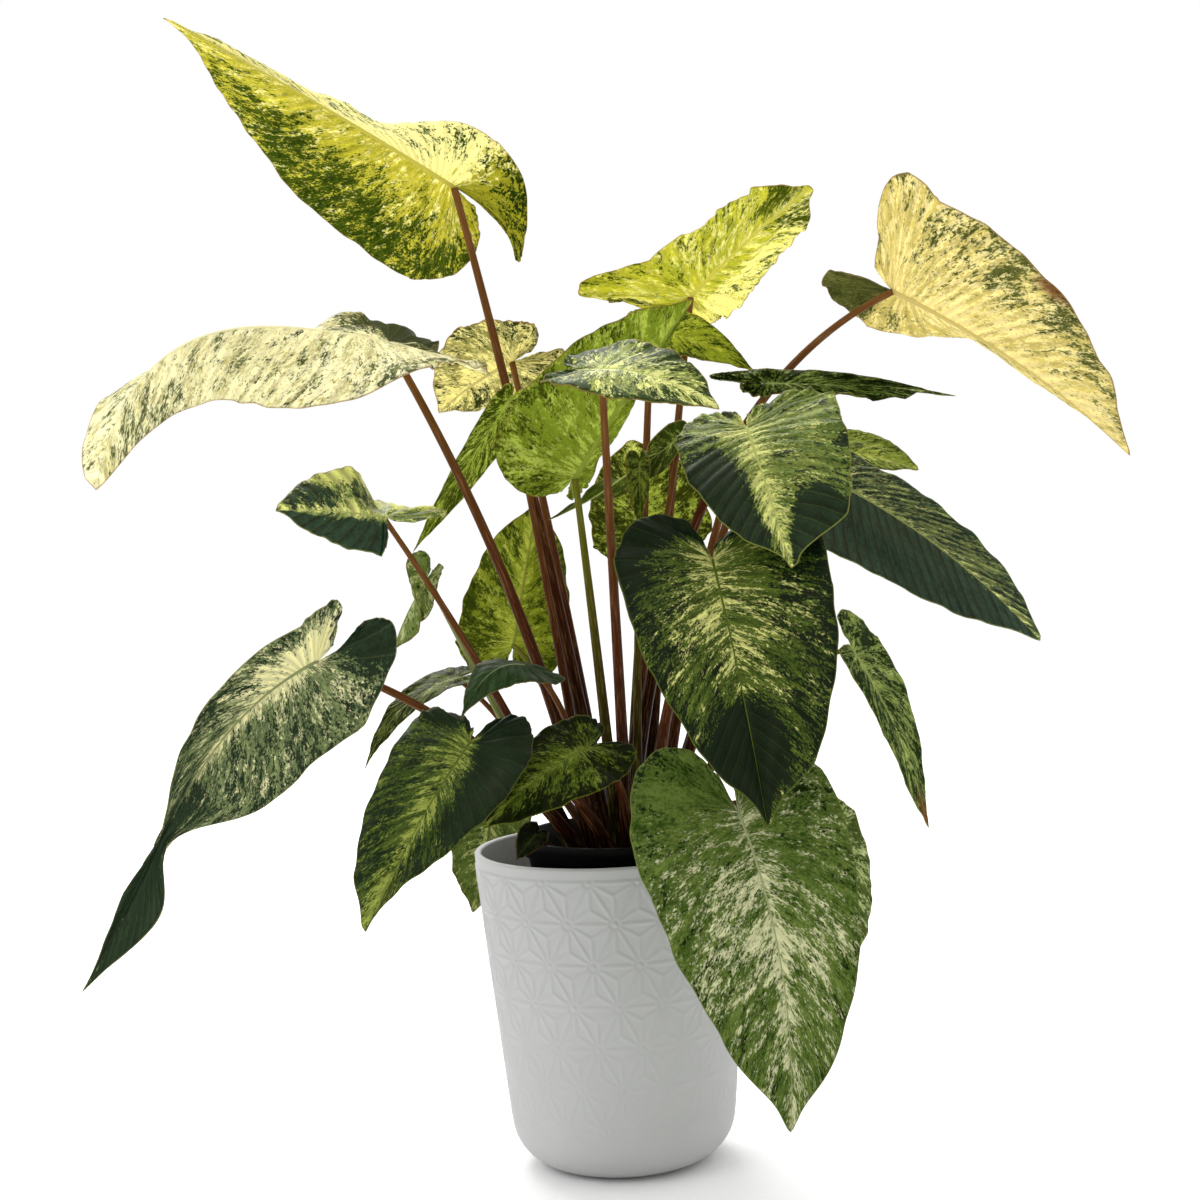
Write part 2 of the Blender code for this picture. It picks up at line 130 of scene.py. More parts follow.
def add_object(name: str, shape: Shape, finishes: list[Finish]) -> bpy.types.Object:
    """Turn a bmesh into an object.

    Args:
        name: the object's name.
        shape: its bmesh, which is freed.
        finishes: its materials in slot order.

    Returns:
        The new object.
    """
    mesh = bpy.data.meshes.new(name)
    shape.to_mesh(mesh)
    shape.free()
    mesh.shade_smooth()
    for finish in finishes:
        mesh.materials.append(finish)
    made = bpy.data.objects.new(name, mesh)
    bpy.context.scene.collection.objects.link(made)
    return made


def add_piece(name: str, shape: Shape, finishes: list[Finish], slot: str, *nodes: str) -> None:
    """Turn a bmesh into a shown piece that rides on the plant.

    Args:
        name: the piece's name.
        shape: its bmesh, which is freed.
        finishes: its materials in slot order.
        slot: the record's material slot; not used.
        nodes: the CAD nodes that it stands for.
    """
    piece = add_object(name, shape, finishes)
    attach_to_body(piece, BODY)
    if nodes:
        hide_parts(*nodes)
    LOG.info("%s: %d faces", name, len(piece.data.polygons))


def turned(profile: list[Pair], steps: int, centre: float = 0.0) -> Shape:
    """Spin a profile round an upright axis.

    Args:
        profile: radius and height of each point, from the axis out, over and down.
        steps: steps of the full turn.
        centre: the axis's place along X.

    Returns:
        The closed shape.
    """
    shape = bmesh.new()
    verts = [shape.verts.new((centre + r, 0, z)) for r, z in profile]
    edges = [shape.edges.new(pair) for pair in zip(verts, verts[1:])]
    bmesh.ops.spin(shape, geom=verts + edges, axis=(0, 0, 1), cent=(centre, 0, 0),
                   angle=2 * math.pi, steps=steps, use_merge=True)
    bmesh.ops.remove_doubles(shape, verts=shape.verts, dist=SAME)
    bmesh.ops.recalc_face_normals(shape, faces=shape.faces)
    return shape


def arc(centre: Pair, radius: float, start: float, end: float, steps: int) -> list[Pair]:
    """List points on an arc from one angle in degrees to another, in so many steps."""
    angles = [math.radians(start + (end - start) * i / steps) for i in range(steps + 1)]
    return [(centre[0] + radius * math.cos(a), centre[1] + radius * math.sin(a)) for a in angles]


def ease(x: np.ndarray) -> np.ndarray:
    """Ease from nought to one."""
    x = np.clip(x, 0.0, 1.0)
    return x * x * (3 - 2 * x)


def tube(path: Callable[[float], Vector], radius: Callable[[float, float], float],
         rings: int, sides: int) -> Shape:
    """Bend a capped cylinder along a path.

    Args:
        path: share of the way along to a place.
        radius: share of the way along and angle round to a radius.
        rings: how many rings of points.
        sides: points round a ring.

    Returns:
        A closed tube, with the layers "run" (place round and along, in millimetres)
        and "age" (share of the way along).
    """
    shape = bmesh.new()
    bmesh.ops.create_cone(shape, cap_ends=True, segments=sides, radius1=1, radius2=1, depth=1)
    rails = [e for e in shape.edges if abs(e.verts[0].co.z - e.verts[1].co.z) > 0.5]
    bmesh.ops.subdivide_edges(shape, edges=rails, cuts=rings - 2, use_grid_fill=True)
    run = shape.verts.layers.float_vector.new("run")
    age = shape.verts.layers.float.new("age")
    # No tube runs along the guide, which sets where its first point round lies.
    guide = Vector((0.31, 0.95, 0.05))
    step = 1e-3
    length = 0.0
    last = path(0.0)
    frames = []
    for i in range(rings):
        t = i / (rings - 1)
        here = path(t)
        length += (here - last).length
        last = here
        ahead = (path(min(t + step, 1)) - path(max(t - step, 0))).normalized()
        side = ahead.cross(guide).normalized()
        frames.append((t, here, side, side.cross(ahead), length))
    for vert in shape.verts:
        t, here, side, front, far = frames[round((vert.co.z + 0.5) * (rings - 1))]
        angle = math.atan2(vert.co.y, vert.co.x)
        r = radius(t, angle)
        vert[run] = Vector((r * math.cos(angle), r * math.sin(angle), far)) / MM
        vert[age] = t
        vert.co = here + (side * math.cos(angle) + front * math.sin(angle)) * r
    bmesh.ops.recalc_face_normals(shape, faces=shape.faces)
    if shape.calc_volume(signed=True) < 0:
        bmesh.ops.reverse_faces(shape, faces=shape.faces)
    return shape


def add_tube(shape: Shape, part: Shape, slot: int, **layers: Triple) -> None:
    """Join a tube to a shape.

    Args:
        shape: the shape that takes it.
        part: the tube, which is freed.
        slot: the tube's material number in the joined shape.
        layers: values of the shape's vector layers on the tube.
    """
    for face in part.faces:
        face.material_index = slot
    for name, value in layers.items():
        layer = part.verts.layers.float_vector.new(name)
        for vert in part.verts:
            vert[layer] = value
    mesh = bpy.data.meshes.new("tube")
    part.to_mesh(mesh)
    part.free()
    shape.from_mesh(mesh)
    bpy.data.meshes.remove(mesh)


# ---------------------------------------------------------------- finishes


class Face(Enum):
    """Which face of a blade a finish is for."""

    UPPER = "upper"
    UNDER = "under"


@dataclass(frozen=True)
class Marbling:
    """Leaf skin: waxy green cells marbled with cream, laid along the side veins.

    The eye gets a satin sheen, light that glows through the thin pale cells, and
    crisp specks drawn out along the veins. Biases below nought make a colour rare.
    """

    dark: str
    mid: str
    light: str
    pale: str
    glow: float = 0.3
    soft: float = 0.15
    sheen: float = 0.42
    burnt: str = "#84502a"
    # Mirror of the wax; pale in the midrib; brown in the margin's thin hem; painted light and shade on the
    # pleats' flanks.
    shine: float = 0.15
    rib: float = 0.4
    hem: float = 0.5
    pleat_shade: float = 0.1
    # Sizes of the marbling along and across the veins, in millimetres.
    wide: Pair = (34.0, 16.0)
    streak: Pair = (9.0, 4.2)
    speck: Pair = (2.3, 1.3)

    def mask(self, tree: Tree, vein: bpy.types.NodeSocket, bias: bpy.types.NodeSocket,
             shift: float, soft: float, clumps: float) -> bpy.types.Node:
        """Add one marbled mask.

        Args:
            tree: the material's tree.
            vein: the coordinate along and across the veins.
            bias: how common the marked colour is at each point.
            shift: moves the pattern, so that two masks differ.
            soft: how far the mask's edges fade.
            clumps: how much the middle sizes count over the specks.

        Returns:
            The mask.
        """
        gains = ((self.wide, 1.5, 3.0), (self.streak, 2.0 * clumps, 4.0), (self.speck, 2.4 / clumps, 3.0))
        for (along, across), gain, detail in gains:
            place = add_node(tree, "Mapping", {
                "Vector": vein, "Location": (shift, shift * 0.7, shift * 1.9),
                "Scale": (1 / along, 1 / across, 0.0)})
            cloud = add_node(tree, "TexNoise", {
                "Vector": place, "Scale": 1.0, "Detail": detail, "Roughness": 0.66, "Distortion": 0.3})
            bias = add_node(tree, "Math", {0: cloud, 1: gain, 2: bias}, operation="MULTIPLY_ADD")
        middle = sum(gain for _, gain, _ in gains) / 2
        return add_node(tree, "MapRange", {
            "Value": bias, "From Min": middle - soft, "From Max": middle + soft}, clamp=True)

    def material(self, name: str, face: Face, seed: int) -> Finish:
        """Build the leaf skin.

        Args:
            name: the leaf's name.
            face: the upper face, or the paler and duller underside.
            seed: sets its marbling apart from the other leaves'.

        Returns:
            The material.
        """
        under = face is Face.UNDER
        bleach = 0.22 * under
        dull = 0.18 * under
        material, tree = new_material(f"leaf_skin_{name}_{face.value}")
        vein, marks, extra = (
            add_node(tree, "Attribute", {}, attribute_name=layer).outputs["Vector"]
            for layer in ("vein", "marks", "extra"))
        biases = add_node(tree, "SeparateXYZ", {0: marks}).outputs
        phase, from_rib, burn = add_node(tree, "SeparateXYZ", {0: extra}).outputs
        from_margin = add_node(tree, "SeparateXYZ", {0: vein}).outputs[2]
        # How each mask is shifted and softened, and its clumps.
        kinds = ((0.0, 0.1, 1.1), (5.0, self.soft, 1.15), (9.0, 0.5, 1.0))
        dark, pale, ground = (
            self.mask(tree, vein, bias, 13.0 * seed + shift, soft, clumps)
            for bias, (shift, soft, clumps) in zip(biases, kinds))
        deep = add_node(tree, "Mix", {
            0: ground, 6: mixed(self.dark, "#020801", 0.4 - bleach),
            7: mixed(self.dark, self.mid, 0.15 + bleach)}, data_type="RGBA")
        colour = mixed(self.mid, self.light, bleach)
        for mask, paint in ((ground, self.light), (pale, self.pale), (dark, deep)):
            colour = add_node(tree, "Mix", {0: mask, 6: colour, 7: paint}, data_type="RGBA")
        # Painted pleat shading: one flank of every swelling between two side veins is painted lighter and
        # the other darker, as if light fell from above.
        lit_flank = add_node(tree, "Math", {0: phase, 1: 0.25}, operation="ADD")
        wave = add_node(tree, "Math", {0: lit_flank, 1: 0.5}, operation="PINGPONG")
        tone = add_node(tree, "MapRange", {
            "Value": wave, "From Max": 0.5, "To Min": 1 - self.pleat_shade, "To Max": 1 + self.pleat_shade})
        colour = add_node(tree, "HueSaturation", {"Color": colour, "Value": tone})
        # Side veins half a millimetre wide, the midrib, scorched places, and the margin's hem.
        fold = add_node(tree, "Math", {0: phase, 1: 0.5}, operation="PINGPONG")
        line, rib, hem = (
            add_node(tree, "MapRange", {
                "Value": far, "From Min": outer, "From Max": inner, "To Max": most}, clamp=True)
            for far, outer, inner, most in (
                (fold, 0.07, 0.0, 0.1), (from_rib, 1.25, 0.75, 0.8), (from_margin, 0.9, 0.45, 0.75)))
        for mask, paint in ((line, self.light), (rib, mixed(self.light, self.pale, self.rib)),
                            (burn, self.burnt), (hem, mixed(self.light, self.burnt, self.hem))):
            colour = add_node(tree, "Mix", {0: mask, 6: colour, 7: paint}, data_type="RGBA")
        grain_place = add_node(tree, "Mapping", {"Vector": vein, "Scale": (0.12, 0.5, 1.0)})
        grain = add_node(tree, "TexNoise", {
            "Vector": grain_place, "Scale": 1.0, "Detail": 3.0, "Roughness": 0.55})
        height = add_node(tree, "Math", {0: grain, 1: line}, operation="SUBTRACT")
        relief = add_node(tree, "Bump", {
            "Height": height, "Strength": 0.5 if under else 0.35, "Distance": 0.4 * MM})
        gloss = add_node(tree, "MapRange", {
            "Value": grain, "From Min": 0.3, "From Max": 0.7,
            "To Min": self.sheen - 0.05 + dull, "To Max": self.sheen + 0.08 + dull})
        skin = add_node(tree, "BsdfPrincipled", {
            "Base Color": colour, "Roughness": gloss, "IOR": 1.45, "Normal": relief,
            "Specular IOR Level": 0.06 if under else self.shine, "Specular Tint": "#fff8c0"})
        lit = add_node(tree, "HueSaturation", {"Color": colour, "Saturation": 1.12, "Value": 1.12})
        through = add_node(tree, "BsdfTranslucent", {"Color": lit, "Normal": relief})
        both = add_node(tree, "MixShader", {0: self.glow, 1: skin, 2: through})
        add_node(tree, "OutputMaterial", {"Surface": both})
        return material


@dataclass(frozen=True)
class StalkSkin:
    """Leaf-stalk skin: smooth, fleshy and faintly streaked, dark wine red at the foot, darkened further by
    painted shade where the crowded stalks shade each other by the soil.
    """

    foot: str
    middle: str
    top: str
    fleck: str

    def material(self, name: str) -> Finish:
        """Build the stalk skin.

        Args:
            name: the tone's name.

        Returns:
            The material.
        """
        material, tree = new_material(f"stalk_skin_{name}")
        run = add_node(tree, "Attribute", {}, attribute_name="run").outputs["Vector"]
        age = add_node(tree, "Attribute", {}, attribute_name="age").outputs["Fac"]
        place = add_node(tree, "Mapping", {"Vector": run, "Scale": (0.8, 0.8, 0.055)})
        streak = add_node(tree, "TexNoise", {
            "Vector": place, "Scale": 1.0, "Detail": 4.0, "Roughness": 0.6})
        ramp = add_node(tree, "ValToRGB", {"Fac": age})
        # The foot colour, held over the first fifth, is partly the stalk's own wine red and partly painted
        # shade of the crowded stalks by the soil.
        stops = ((0.0, self.foot), (0.2, self.foot), (0.5, self.middle), (1.0, self.top))
        while len(ramp.color_ramp.elements) < len(stops):
            ramp.color_ramp.elements.new(0.5)
        for element, (where, colour) in zip(ramp.color_ramp.elements, stops):
            element.position = where
            element.color = linear(colour)
        show = add_node(tree, "MapRange", {
            "Value": streak, "From Min": 0.5, "From Max": 0.72, "To Max": 0.55}, clamp=True)
        skin = add_node(tree, "Mix", {0: show, 6: ramp, 7: self.fleck}, data_type="RGBA")
        relief = add_node(tree, "Bump", {"Height": streak, "Strength": 0.3, "Distance": 0.3 * MM})
        shader = add_node(tree, "BsdfPrincipled", {
            "Base Color": skin, "Roughness": 0.45, "IOR": 1.45, "Normal": relief,
            "Specular IOR Level": 0.1, "Specular Tint": "#ffdca0"})
        add_node(tree, "OutputMaterial", {"Surface": shader})
        return material


class StalkTone(Enum):
    """The three kinds of stalk on the plant."""

    # Each foot colour is darker than the stalk's own tone: painted shade where the stalks crowd by the
    # soil.
    RED = StalkSkin("#1e0602", "#46200e", "#6c4620", "#8c6642")
    OLIVE = StalkSkin("#1a0c00", "#3a320a", "#5e6018", "#868640")
    GREEN = StalkSkin("#2c1e0e", "#636c35", "#87935a", "#b3ba84")


@dataclass(frozen=True)
class Grained:
    """An even material with a little cloud in its colour and a fine grain in its skin."""

    name: str
    colour: str
    cloud: str
    roughness: float
    # Sizes of the clouds and of the grain, and the grain's depth, in millimetres.
    cloud_size: float
    grain_size: float
    relief: float
    specular: float

    def material(self) -> Finish:
        """Build the material on Object coordinates.

        Returns:
            The material.
        """
        material, tree = new_material(self.name)
        place = add_node(tree, "TexCoord", {}).outputs["Object"]
        cloud, grain = (
            add_node(tree, "TexNoise", {
                "Vector": place, "Scale": 1 / (size * MM), "Detail": detail, "Roughness": roughness})
            for size, detail, roughness in ((self.cloud_size, 3.0, 0.55), (self.grain_size, 2.0, 0.6)))
        colour = add_node(tree, "Mix", {0: cloud, 6: self.colour, 7: self.cloud}, data_type="RGBA")
        relief = add_node(tree, "Bump", {
            "Height": grain, "Strength": 0.5, "Distance": self.relief * MM})
        rough = add_node(tree, "MapRange", {
            "Value": cloud, "From Min": 0.3, "From Max": 0.7,
            "To Min": self.roughness - 0.05, "To Max": min(self.roughness + 0.05, 1.0)})
        shader = add_node(tree, "BsdfPrincipled", {
            "Base Color": colour, "Roughness": rough, "IOR": 1.5, "Normal": relief,
            "Specular IOR Level": self.specular})
        add_node(tree, "OutputMaterial", {"Surface": shader})
        return material


# Matt white stoneware: a dry, even skin that only softly mirrors the room. Its grey base colour is painted
# shade, darkening the white glaze for the dim light on the pot's front.
STONEWARE = Grained("matt_white_stoneware", "#b0b1b0", "#b8b9b7", 0.62, 60.0, 0.9, 0.05, 0.3)
# Injection-moulded polypropylene: black, a little dusty, faintly satin.
POLYPROPYLENE = Grained("black_polypropylene", "#010101", "#040403", 0.55, 18.0, 1.1, 0.08, 0.1)
# Peat and coir: dark, crumbly and quite matt.
PEAT = Grained("moist_peat_mix", "#0e0905", "#251910", 0.95, 4.0, 1.2, 0.6, 0.15)
# Expanded perlite: chalky white foam-glass grains.
PERLITE = Grained("perlite_grains", "#cfccc2", "#a8a294", 0.85, 2.0, 0.7, 0.3, 0.3)
# Orchid bark: reddish chips with a dry face.
BARK = Grained("bark_chips", "#4c2f1d", "#2a1a10", 0.85, 3.0, 0.8, 0.4, 0.3)
# Studio paper: plain, pale and matt.
PAPER = Grained("studio_paper", "#ffffff", "#fefefe", 0.95, 900.0, 3.0, 0.02, 0.0)


# ---------------------------------------------------------------- leaves

# Half of a flat heart: (along, across). Behind the stalk the first number is a
# fraction of the lobe, ahead of it a fraction of the length; the second is a
# fraction of the half width.
HEART = np.array((
    (-0.50, 0.05), (-0.86, 0.20), (-1.00, 0.46), (-0.80, 0.74), (-0.25, 0.95),
    (0.12, 1.00), (0.36, 0.90), (0.60, 0.64), (0.82, 0.30), (1.00, 0.00),
))
# The veins up to this share of the margin all start at the stalk.
FAN_SHARE = 0.36
# A half width in millimetres from which a leaf has its full ribs and waves.
FULL_WIDTH = 45
# Half widths in millimetres above which a blade has so many steps along and across.
STEPS = ((40, 150, 18), (24, 110, 13), (0, 72, 9))


class Half(IntEnum):
    """A half of a blade, seen from the stalk to the tip; blots may be on both."""

    LEFT = 0
    RIGHT = 1
    BOTH = 2


LEFT, RIGHT, BOTH = Half


@dataclass(frozen=True)
class Blot:
    """A place on a blade where a colour is commoner or rarer than elsewhere.

    The share tells the veins apart, from the lobe's back to the tip, and the reach goes
    from the midrib to the margin.
    """

    side: Half
    share: float
    reach: float
    share_size: float
    reach_size: float
    dark: float = 0.0
    pale: float = 0.0
    ground: float = 0.0
    burn: float = 0.0

    def weight(self, share: np.ndarray, reach: np.ndarray, side: np.ndarray) -> np.ndarray:
        """How strongly the blot shows on these veins, this far from the midrib, on these halves."""
        far = ((share - self.share) / self.share_size) ** 2 + ((reach - self.reach) / self.reach_size) ** 2
        return np.exp(-far ** 2) * ((side == self.side) | (self.side is BOTH))


@dataclass(frozen=True)
class Look:
    """How common each colour is on one leaf: everywhere, in blots, by the rib and at the edge."""

    dark: float
    pale: float
    blots: tuple[Blot, ...] = ()
    rib_dark: float = -0.3
    rib_pale: float = 0.3
    edge_dark: float = 0.15
    # Width of the part by the rib, as a share of the wider half.
    band: float = 0.15


@dataclass(frozen=True)
class Leaf:
    """One leaf, from attach, its joint with the stalk, to its tip.

    Its upper face looks to a bearing and a height. Six pairs are for the left and the
    right half, seen from the stalk to the tip: half is the width, lobe the length behind
    the stalk, full how much fuller the outline is, fold the angle up, and drop and splay
    the droop and the spread of the lobe.
    """

    name: str
    attach: Triple
    tip: Triple
    face: Pair
    half: Pair
    lobe: Pair
    # The stalk rises from one of the crown's rings, at an angle round it.
    ring: int
    at: float
    skin: Marbling
    look: Look
    # Where the stalk bends: shares of its way out and up.
    rise: Pair = (0.4, 0.5)
    full: Pair = (0, 0)
    # Folds of the halves: one angle, or those at the stalk, in the middle and at the tip.
    fold: tuple[float | Triple, float | Triple] = (8, 8)
    # Bow of the midrib, up and to the side, and how much more of it lies beyond the middle.
    arch: float = 5
    late_arch: float = 0
    sway: float = 0
    late_sway: float = 0
    drop: Pair = (0, 0)
    splay: Pair = (0, 0)
    twist: float = 0
    # Depth of a narrowing, and its place along the midrib.
    waist: Pair = (0, 0.6)
    # A young leaf, still rolled, is one piece with its stalk.
    rolled: bool = False
    stout: float = 1.0
    stalk: StalkTone = StalkTone.RED
    # Strengths of the waves and of the quilting, and how far the tip is drawn out.
    ruffle: float = 1.0
    quilt: float = 0.8
    drip: float = 0.42
    # How much narrower the left lobe is at its back.
    pinch: float = 0


def heart_margin(share: np.ndarray) -> np.ndarray:
    """Follow the heart's outline.

    Args:
        share: shares of the way from the lobe's back to the tip.

    Returns:
        One (along, across) row for each share, on a Catmull-Rom curve.
    """
    ends = np.vstack((2 * HEART[0] - HEART[1], HEART, 2 * HEART[-1] - HEART[-2]))
    spans = len(HEART) - 1
    place = share * spans
    span = np.minimum(place.astype(int), spans - 1)
    f = (place - span)[:, None]
    a, b, c, d = (ends[span + i] for i in range(4))
    return 0.5 * (2 * b + (c - a) * f + (2 * a - 5 * b + 4 * c - d) * f ** 2
                  + (3 * b - a - 3 * c + d) * f ** 3)


@dataclass
class Blade:
    """The blade of one leaf: a ribbed, wavy sheet with a midrib below it.

    Its grid has a row for each vein, from the back of the lobes to the tip, and columns
    from the right margin over the midrib to the left one.
    """

    leaf: Leaf
    seed: int
    thickness: float = 0.6 * MM
    # Side veins stand this far apart, and the quilting between them this high.
    vein_pitch: float = 8.5 * MM
    quilt: float = 0.85 * MM
    wave: float = 2.2 * MM
    rib_radius: float = 1.7 * MM
    tip_radius: float = 0.35 * MM
    rib_width: float = 1.3 * MM
    groove_depth: float = 0.7 * MM
    groove_width: float = 1.5 * MM
    # Points gather towards the midrib by this power.
    gather: float = 1.35
    # Side veins lean towards the tip by this power.
    lean: float = 2.6
    # The margin is this much in and out of its plain outline.
    ragged: float = 1.1 * MM

    def __post_init__(self) -> None:
        """Work out the blade's own axes and the flat grid that it is bent from."""
        self.attach = np.array(self.leaf.attach) * MM
        chord = np.array(self.leaf.tip) * MM - self.attach
        self.length = float(np.linalg.norm(chord))
        self.along = chord / self.length
        bearing, height = np.radians(self.leaf.face)
        look = np.array((math.cos(height) * math.cos(bearing), math.cos(height) * math.sin(bearing),
                         math.sin(height)))
        up = look - look @ self.along * self.along
        self.up = up / np.linalg.norm(up)
        self.across = np.cross(self.along, self.up)
        widest = max(self.leaf.half)
        self.narrow = min(1.0, widest / FULL_WIDTH)
        self.rows, self.reaches = next(steps for width, *steps in STEPS if widest > width)
        # Share of the margin of each row; place of each column from right to left; its half.
        self.share = np.arange(self.rows + 1) / self.rows
        signed = np.arange(-self.reaches, self.reaches + 1) / self.reaches
        self.signed = np.sign(signed) * np.abs(signed) ** self.gather
        self.side = np.where(signed > 0, LEFT, RIGHT)
        # Distance of each point from the midrib, and of each row from the first, taken
        # along the line at six tenths of the veins' length.
        self.spread = np.stack([
            np.linalg.norm(self.flat(abs(s), side) - self.flat(0.0, side), axis=1)
            for s, side in zip(self.signed, self.side)], axis=1)
        steps = sum(np.linalg.norm(np.diff(self.flat(0.6, side), axis=0), axis=1)
                    for side in (LEFT, RIGHT)) / 2
        self.crossed = np.concatenate(((0,), np.cumsum(steps)))
        self.phase = self.crossed / self.vein_pitch

    def axes(self, r: np.ndarray) -> tuple[np.ndarray, np.ndarray, np.ndarray, np.ndarray]:
        """Follow the midrib.

        Args:
            r: shares of the midrib's length.

        Returns:
            Place, heading, across and up at each share.
        """
        leaf = self.leaf
        r = r[:, None]
        centred, late = 4 * r * (1 - r), 6.75 * r * r * (1 - r)
        slope, late_slope = 4 * (1 - 2 * r), 6.75 * (2 * r - 3 * r * r)
        rib, ahead = (
            start + self.along * (self.length * far)
            + self.up * (leaf.arch * MM * whole + leaf.late_arch * MM * end)
            + self.across * (leaf.sway * MM * whole + leaf.late_sway * MM * end)
            for start, far, whole, end in ((self.attach, r, centred, late), (0, 1, slope, late_slope)))
        ahead /= np.linalg.norm(ahead, axis=1, keepdims=True)
        across = self.across - (ahead @ self.across)[:, None] * ahead
        across /= np.linalg.norm(across, axis=1, keepdims=True)
        up = np.cross(across, ahead)
        turn = math.radians(leaf.twist) * ease(r)
        return (rib, ahead, across * np.cos(turn) + up * np.sin(turn),
                up * np.cos(turn) - across * np.sin(turn))

    def flat(self, reach: float, side: Half) -> np.ndarray:
        """Lay out one point of every vein on the flat leaf.

        Args:
            reach: place from midrib to margin.
            side: the half of the blade.

        Returns:
            One (along, across) row for each vein, in metres.
        """
        leaf, share = self.leaf, self.share
        half, lobe = leaf.half[side], leaf.lobe[side] * MM
        along, across = heart_margin(share).T
        across = np.maximum(across, 0.0)
        across = np.where(along > 0.2, across ** (1 - leaf.full[side]), across)
        across = across * (1 - leaf.drip * ease((along - 0.8) / 0.17))
        if side == LEFT:
            across = across * (1 - leaf.pinch * ease(-along) ** 2)
        nibble = 0.6 * np.sin(37 * share + self.seed + side) + 0.4 * np.sin(83 * share + 2.1 * self.seed)
        nibble = self.ragged * nibble * ease(share / 0.1) * ease((1 - share) / 0.15)
        nibble = nibble * np.minimum(across * half / 6, 1)
        margin = np.stack((along * np.where(along < 0, lobe, self.length),
                           across * half * MM + nibble * self.narrow), axis=1)
        out = np.maximum(0, (share - FAN_SHARE) / (1 - FAN_SHARE)) ** self.lean
        start = np.stack((self.length * out, np.zeros_like(out)), axis=1)
        span = margin - start
        lag = np.clip(share / FAN_SHARE - 0.6, 0, 1)
        bend = start + span / 2 + np.stack((-0.10 * lag, np.full_like(lag, 0.06)), axis=1) * span[:, 1:]
        return (1 - reach) ** 2 * start + 2 * reach * (1 - reach) * bend + reach ** 2 * margin

    def place(self, reach: float, side: Half) -> np.ndarray:
        """Place one point of every vein in space.

        Args:
            reach: place from midrib to margin.
            side: the half of the blade.

        Returns:
            One place in metres for each vein.
        """
        leaf = self.leaf
        u, v = self.flat(reach, side).T
        behind = np.maximum(-u, 0)
        r = np.clip(u / self.length, 0, 1)
        rib, ahead, across, up = self.axes(r)
        v = v + leaf.splay[side] * behind * np.minimum(v / (0.12 * leaf.half[side] * MM), 1)
        depth, middle = leaf.waist
        v = v * (1 - depth * np.exp(-(((r - middle) / 0.12) ** 2)))
        base, mid, end = np.radians(np.broadcast_to(leaf.fold[side], 3))
        fold = base + (mid - base) * ease(r / 0.35) + (end - mid) * ease((r - 0.5) / 0.5)
        curl = math.radians(leaf.drop[side]) * behind / (leaf.lobe[side] * MM)
        back = behind * np.sinc(curl / math.pi)
        under = behind * np.sin(curl / 2)
        sign = -1 if side == LEFT else 1
        return (rib - ahead * back[:, None] - up * under[:, None]
                + across * (sign * v * np.cos(fold))[:, None] + up * (v * np.sin(fold))[:, None])

    def normals(self, spots: np.ndarray) -> np.ndarray:
        """Work out the upward normals of the grid.

        Args:
            spots: the place of each grid point.

        Returns:
            One unit normal for each point.
        """
        middle = self.reaches
        turned_up = np.cross(np.gradient(spots, axis=0), np.gradient(spots, axis=1))
        turned_up[:, middle] = turned_up[:, middle - 1] + turned_up[:, middle + 1]
        # The veins that start at the stalk share one point, which moves one way; so does the tip.
        fan = np.linalg.norm(spots[:, middle] - spots[0, middle], axis=1) < SAME
        turned_up[fan, middle] = turned_up[fan, middle].sum(axis=0)
        turned_up[-1] = turned_up[-2].sum(axis=0)
        return turned_up / np.maximum(np.linalg.norm(turned_up, axis=2, keepdims=True), 1e-12)

    def relief(self) -> np.ndarray:
        """Raise the ribs and waves, and press in the midrib's groove.

        Returns:
            The height of each grid point over the plain blade.
        """
        spread, share, signed = self.spread, self.share, self.signed
        reach = np.abs(signed)[None, :]
        # The ribs fade out by the midrib, at the margin and at the tip.
        body = ease(spread / (6 * MM)) * ease((1 - reach) / 0.12) * ease((1 - share) / 0.06)[:, None]
        swell = np.abs(np.sin(math.pi * self.phase)) ** 0.8 - 0.55
        ribs = self.quilt * self.leaf.quilt * self.narrow * swell[:, None] * body
        groove = self.groove_depth * self.narrow * np.exp(-((spread / self.groove_width) ** 2))
        # A slow drift of the whole blade and two finer ripples of its margins, which differ.
        apart = 40.0 * (signed > 0)
        drift, edge, fine = (
            np.array([[noise.noise(Vector((rate * s, column, self.seed * own))) for column in columns]
                      for s in share])
            for rate, columns, own in ((6, 2.2 * signed, 5.3), (15, apart, 9.1), (42, apart, 2.3)))
        waves = self.wave * self.leaf.ruffle * max(self.narrow, 0.45) * (
            1.6 * drift * ease(reach * 2) + 1.5 * edge * reach ** 3 + 0.9 * fine * reach ** 6)
        return ribs - groove + waves * ease((1 - share) / 0.1)[:, None]

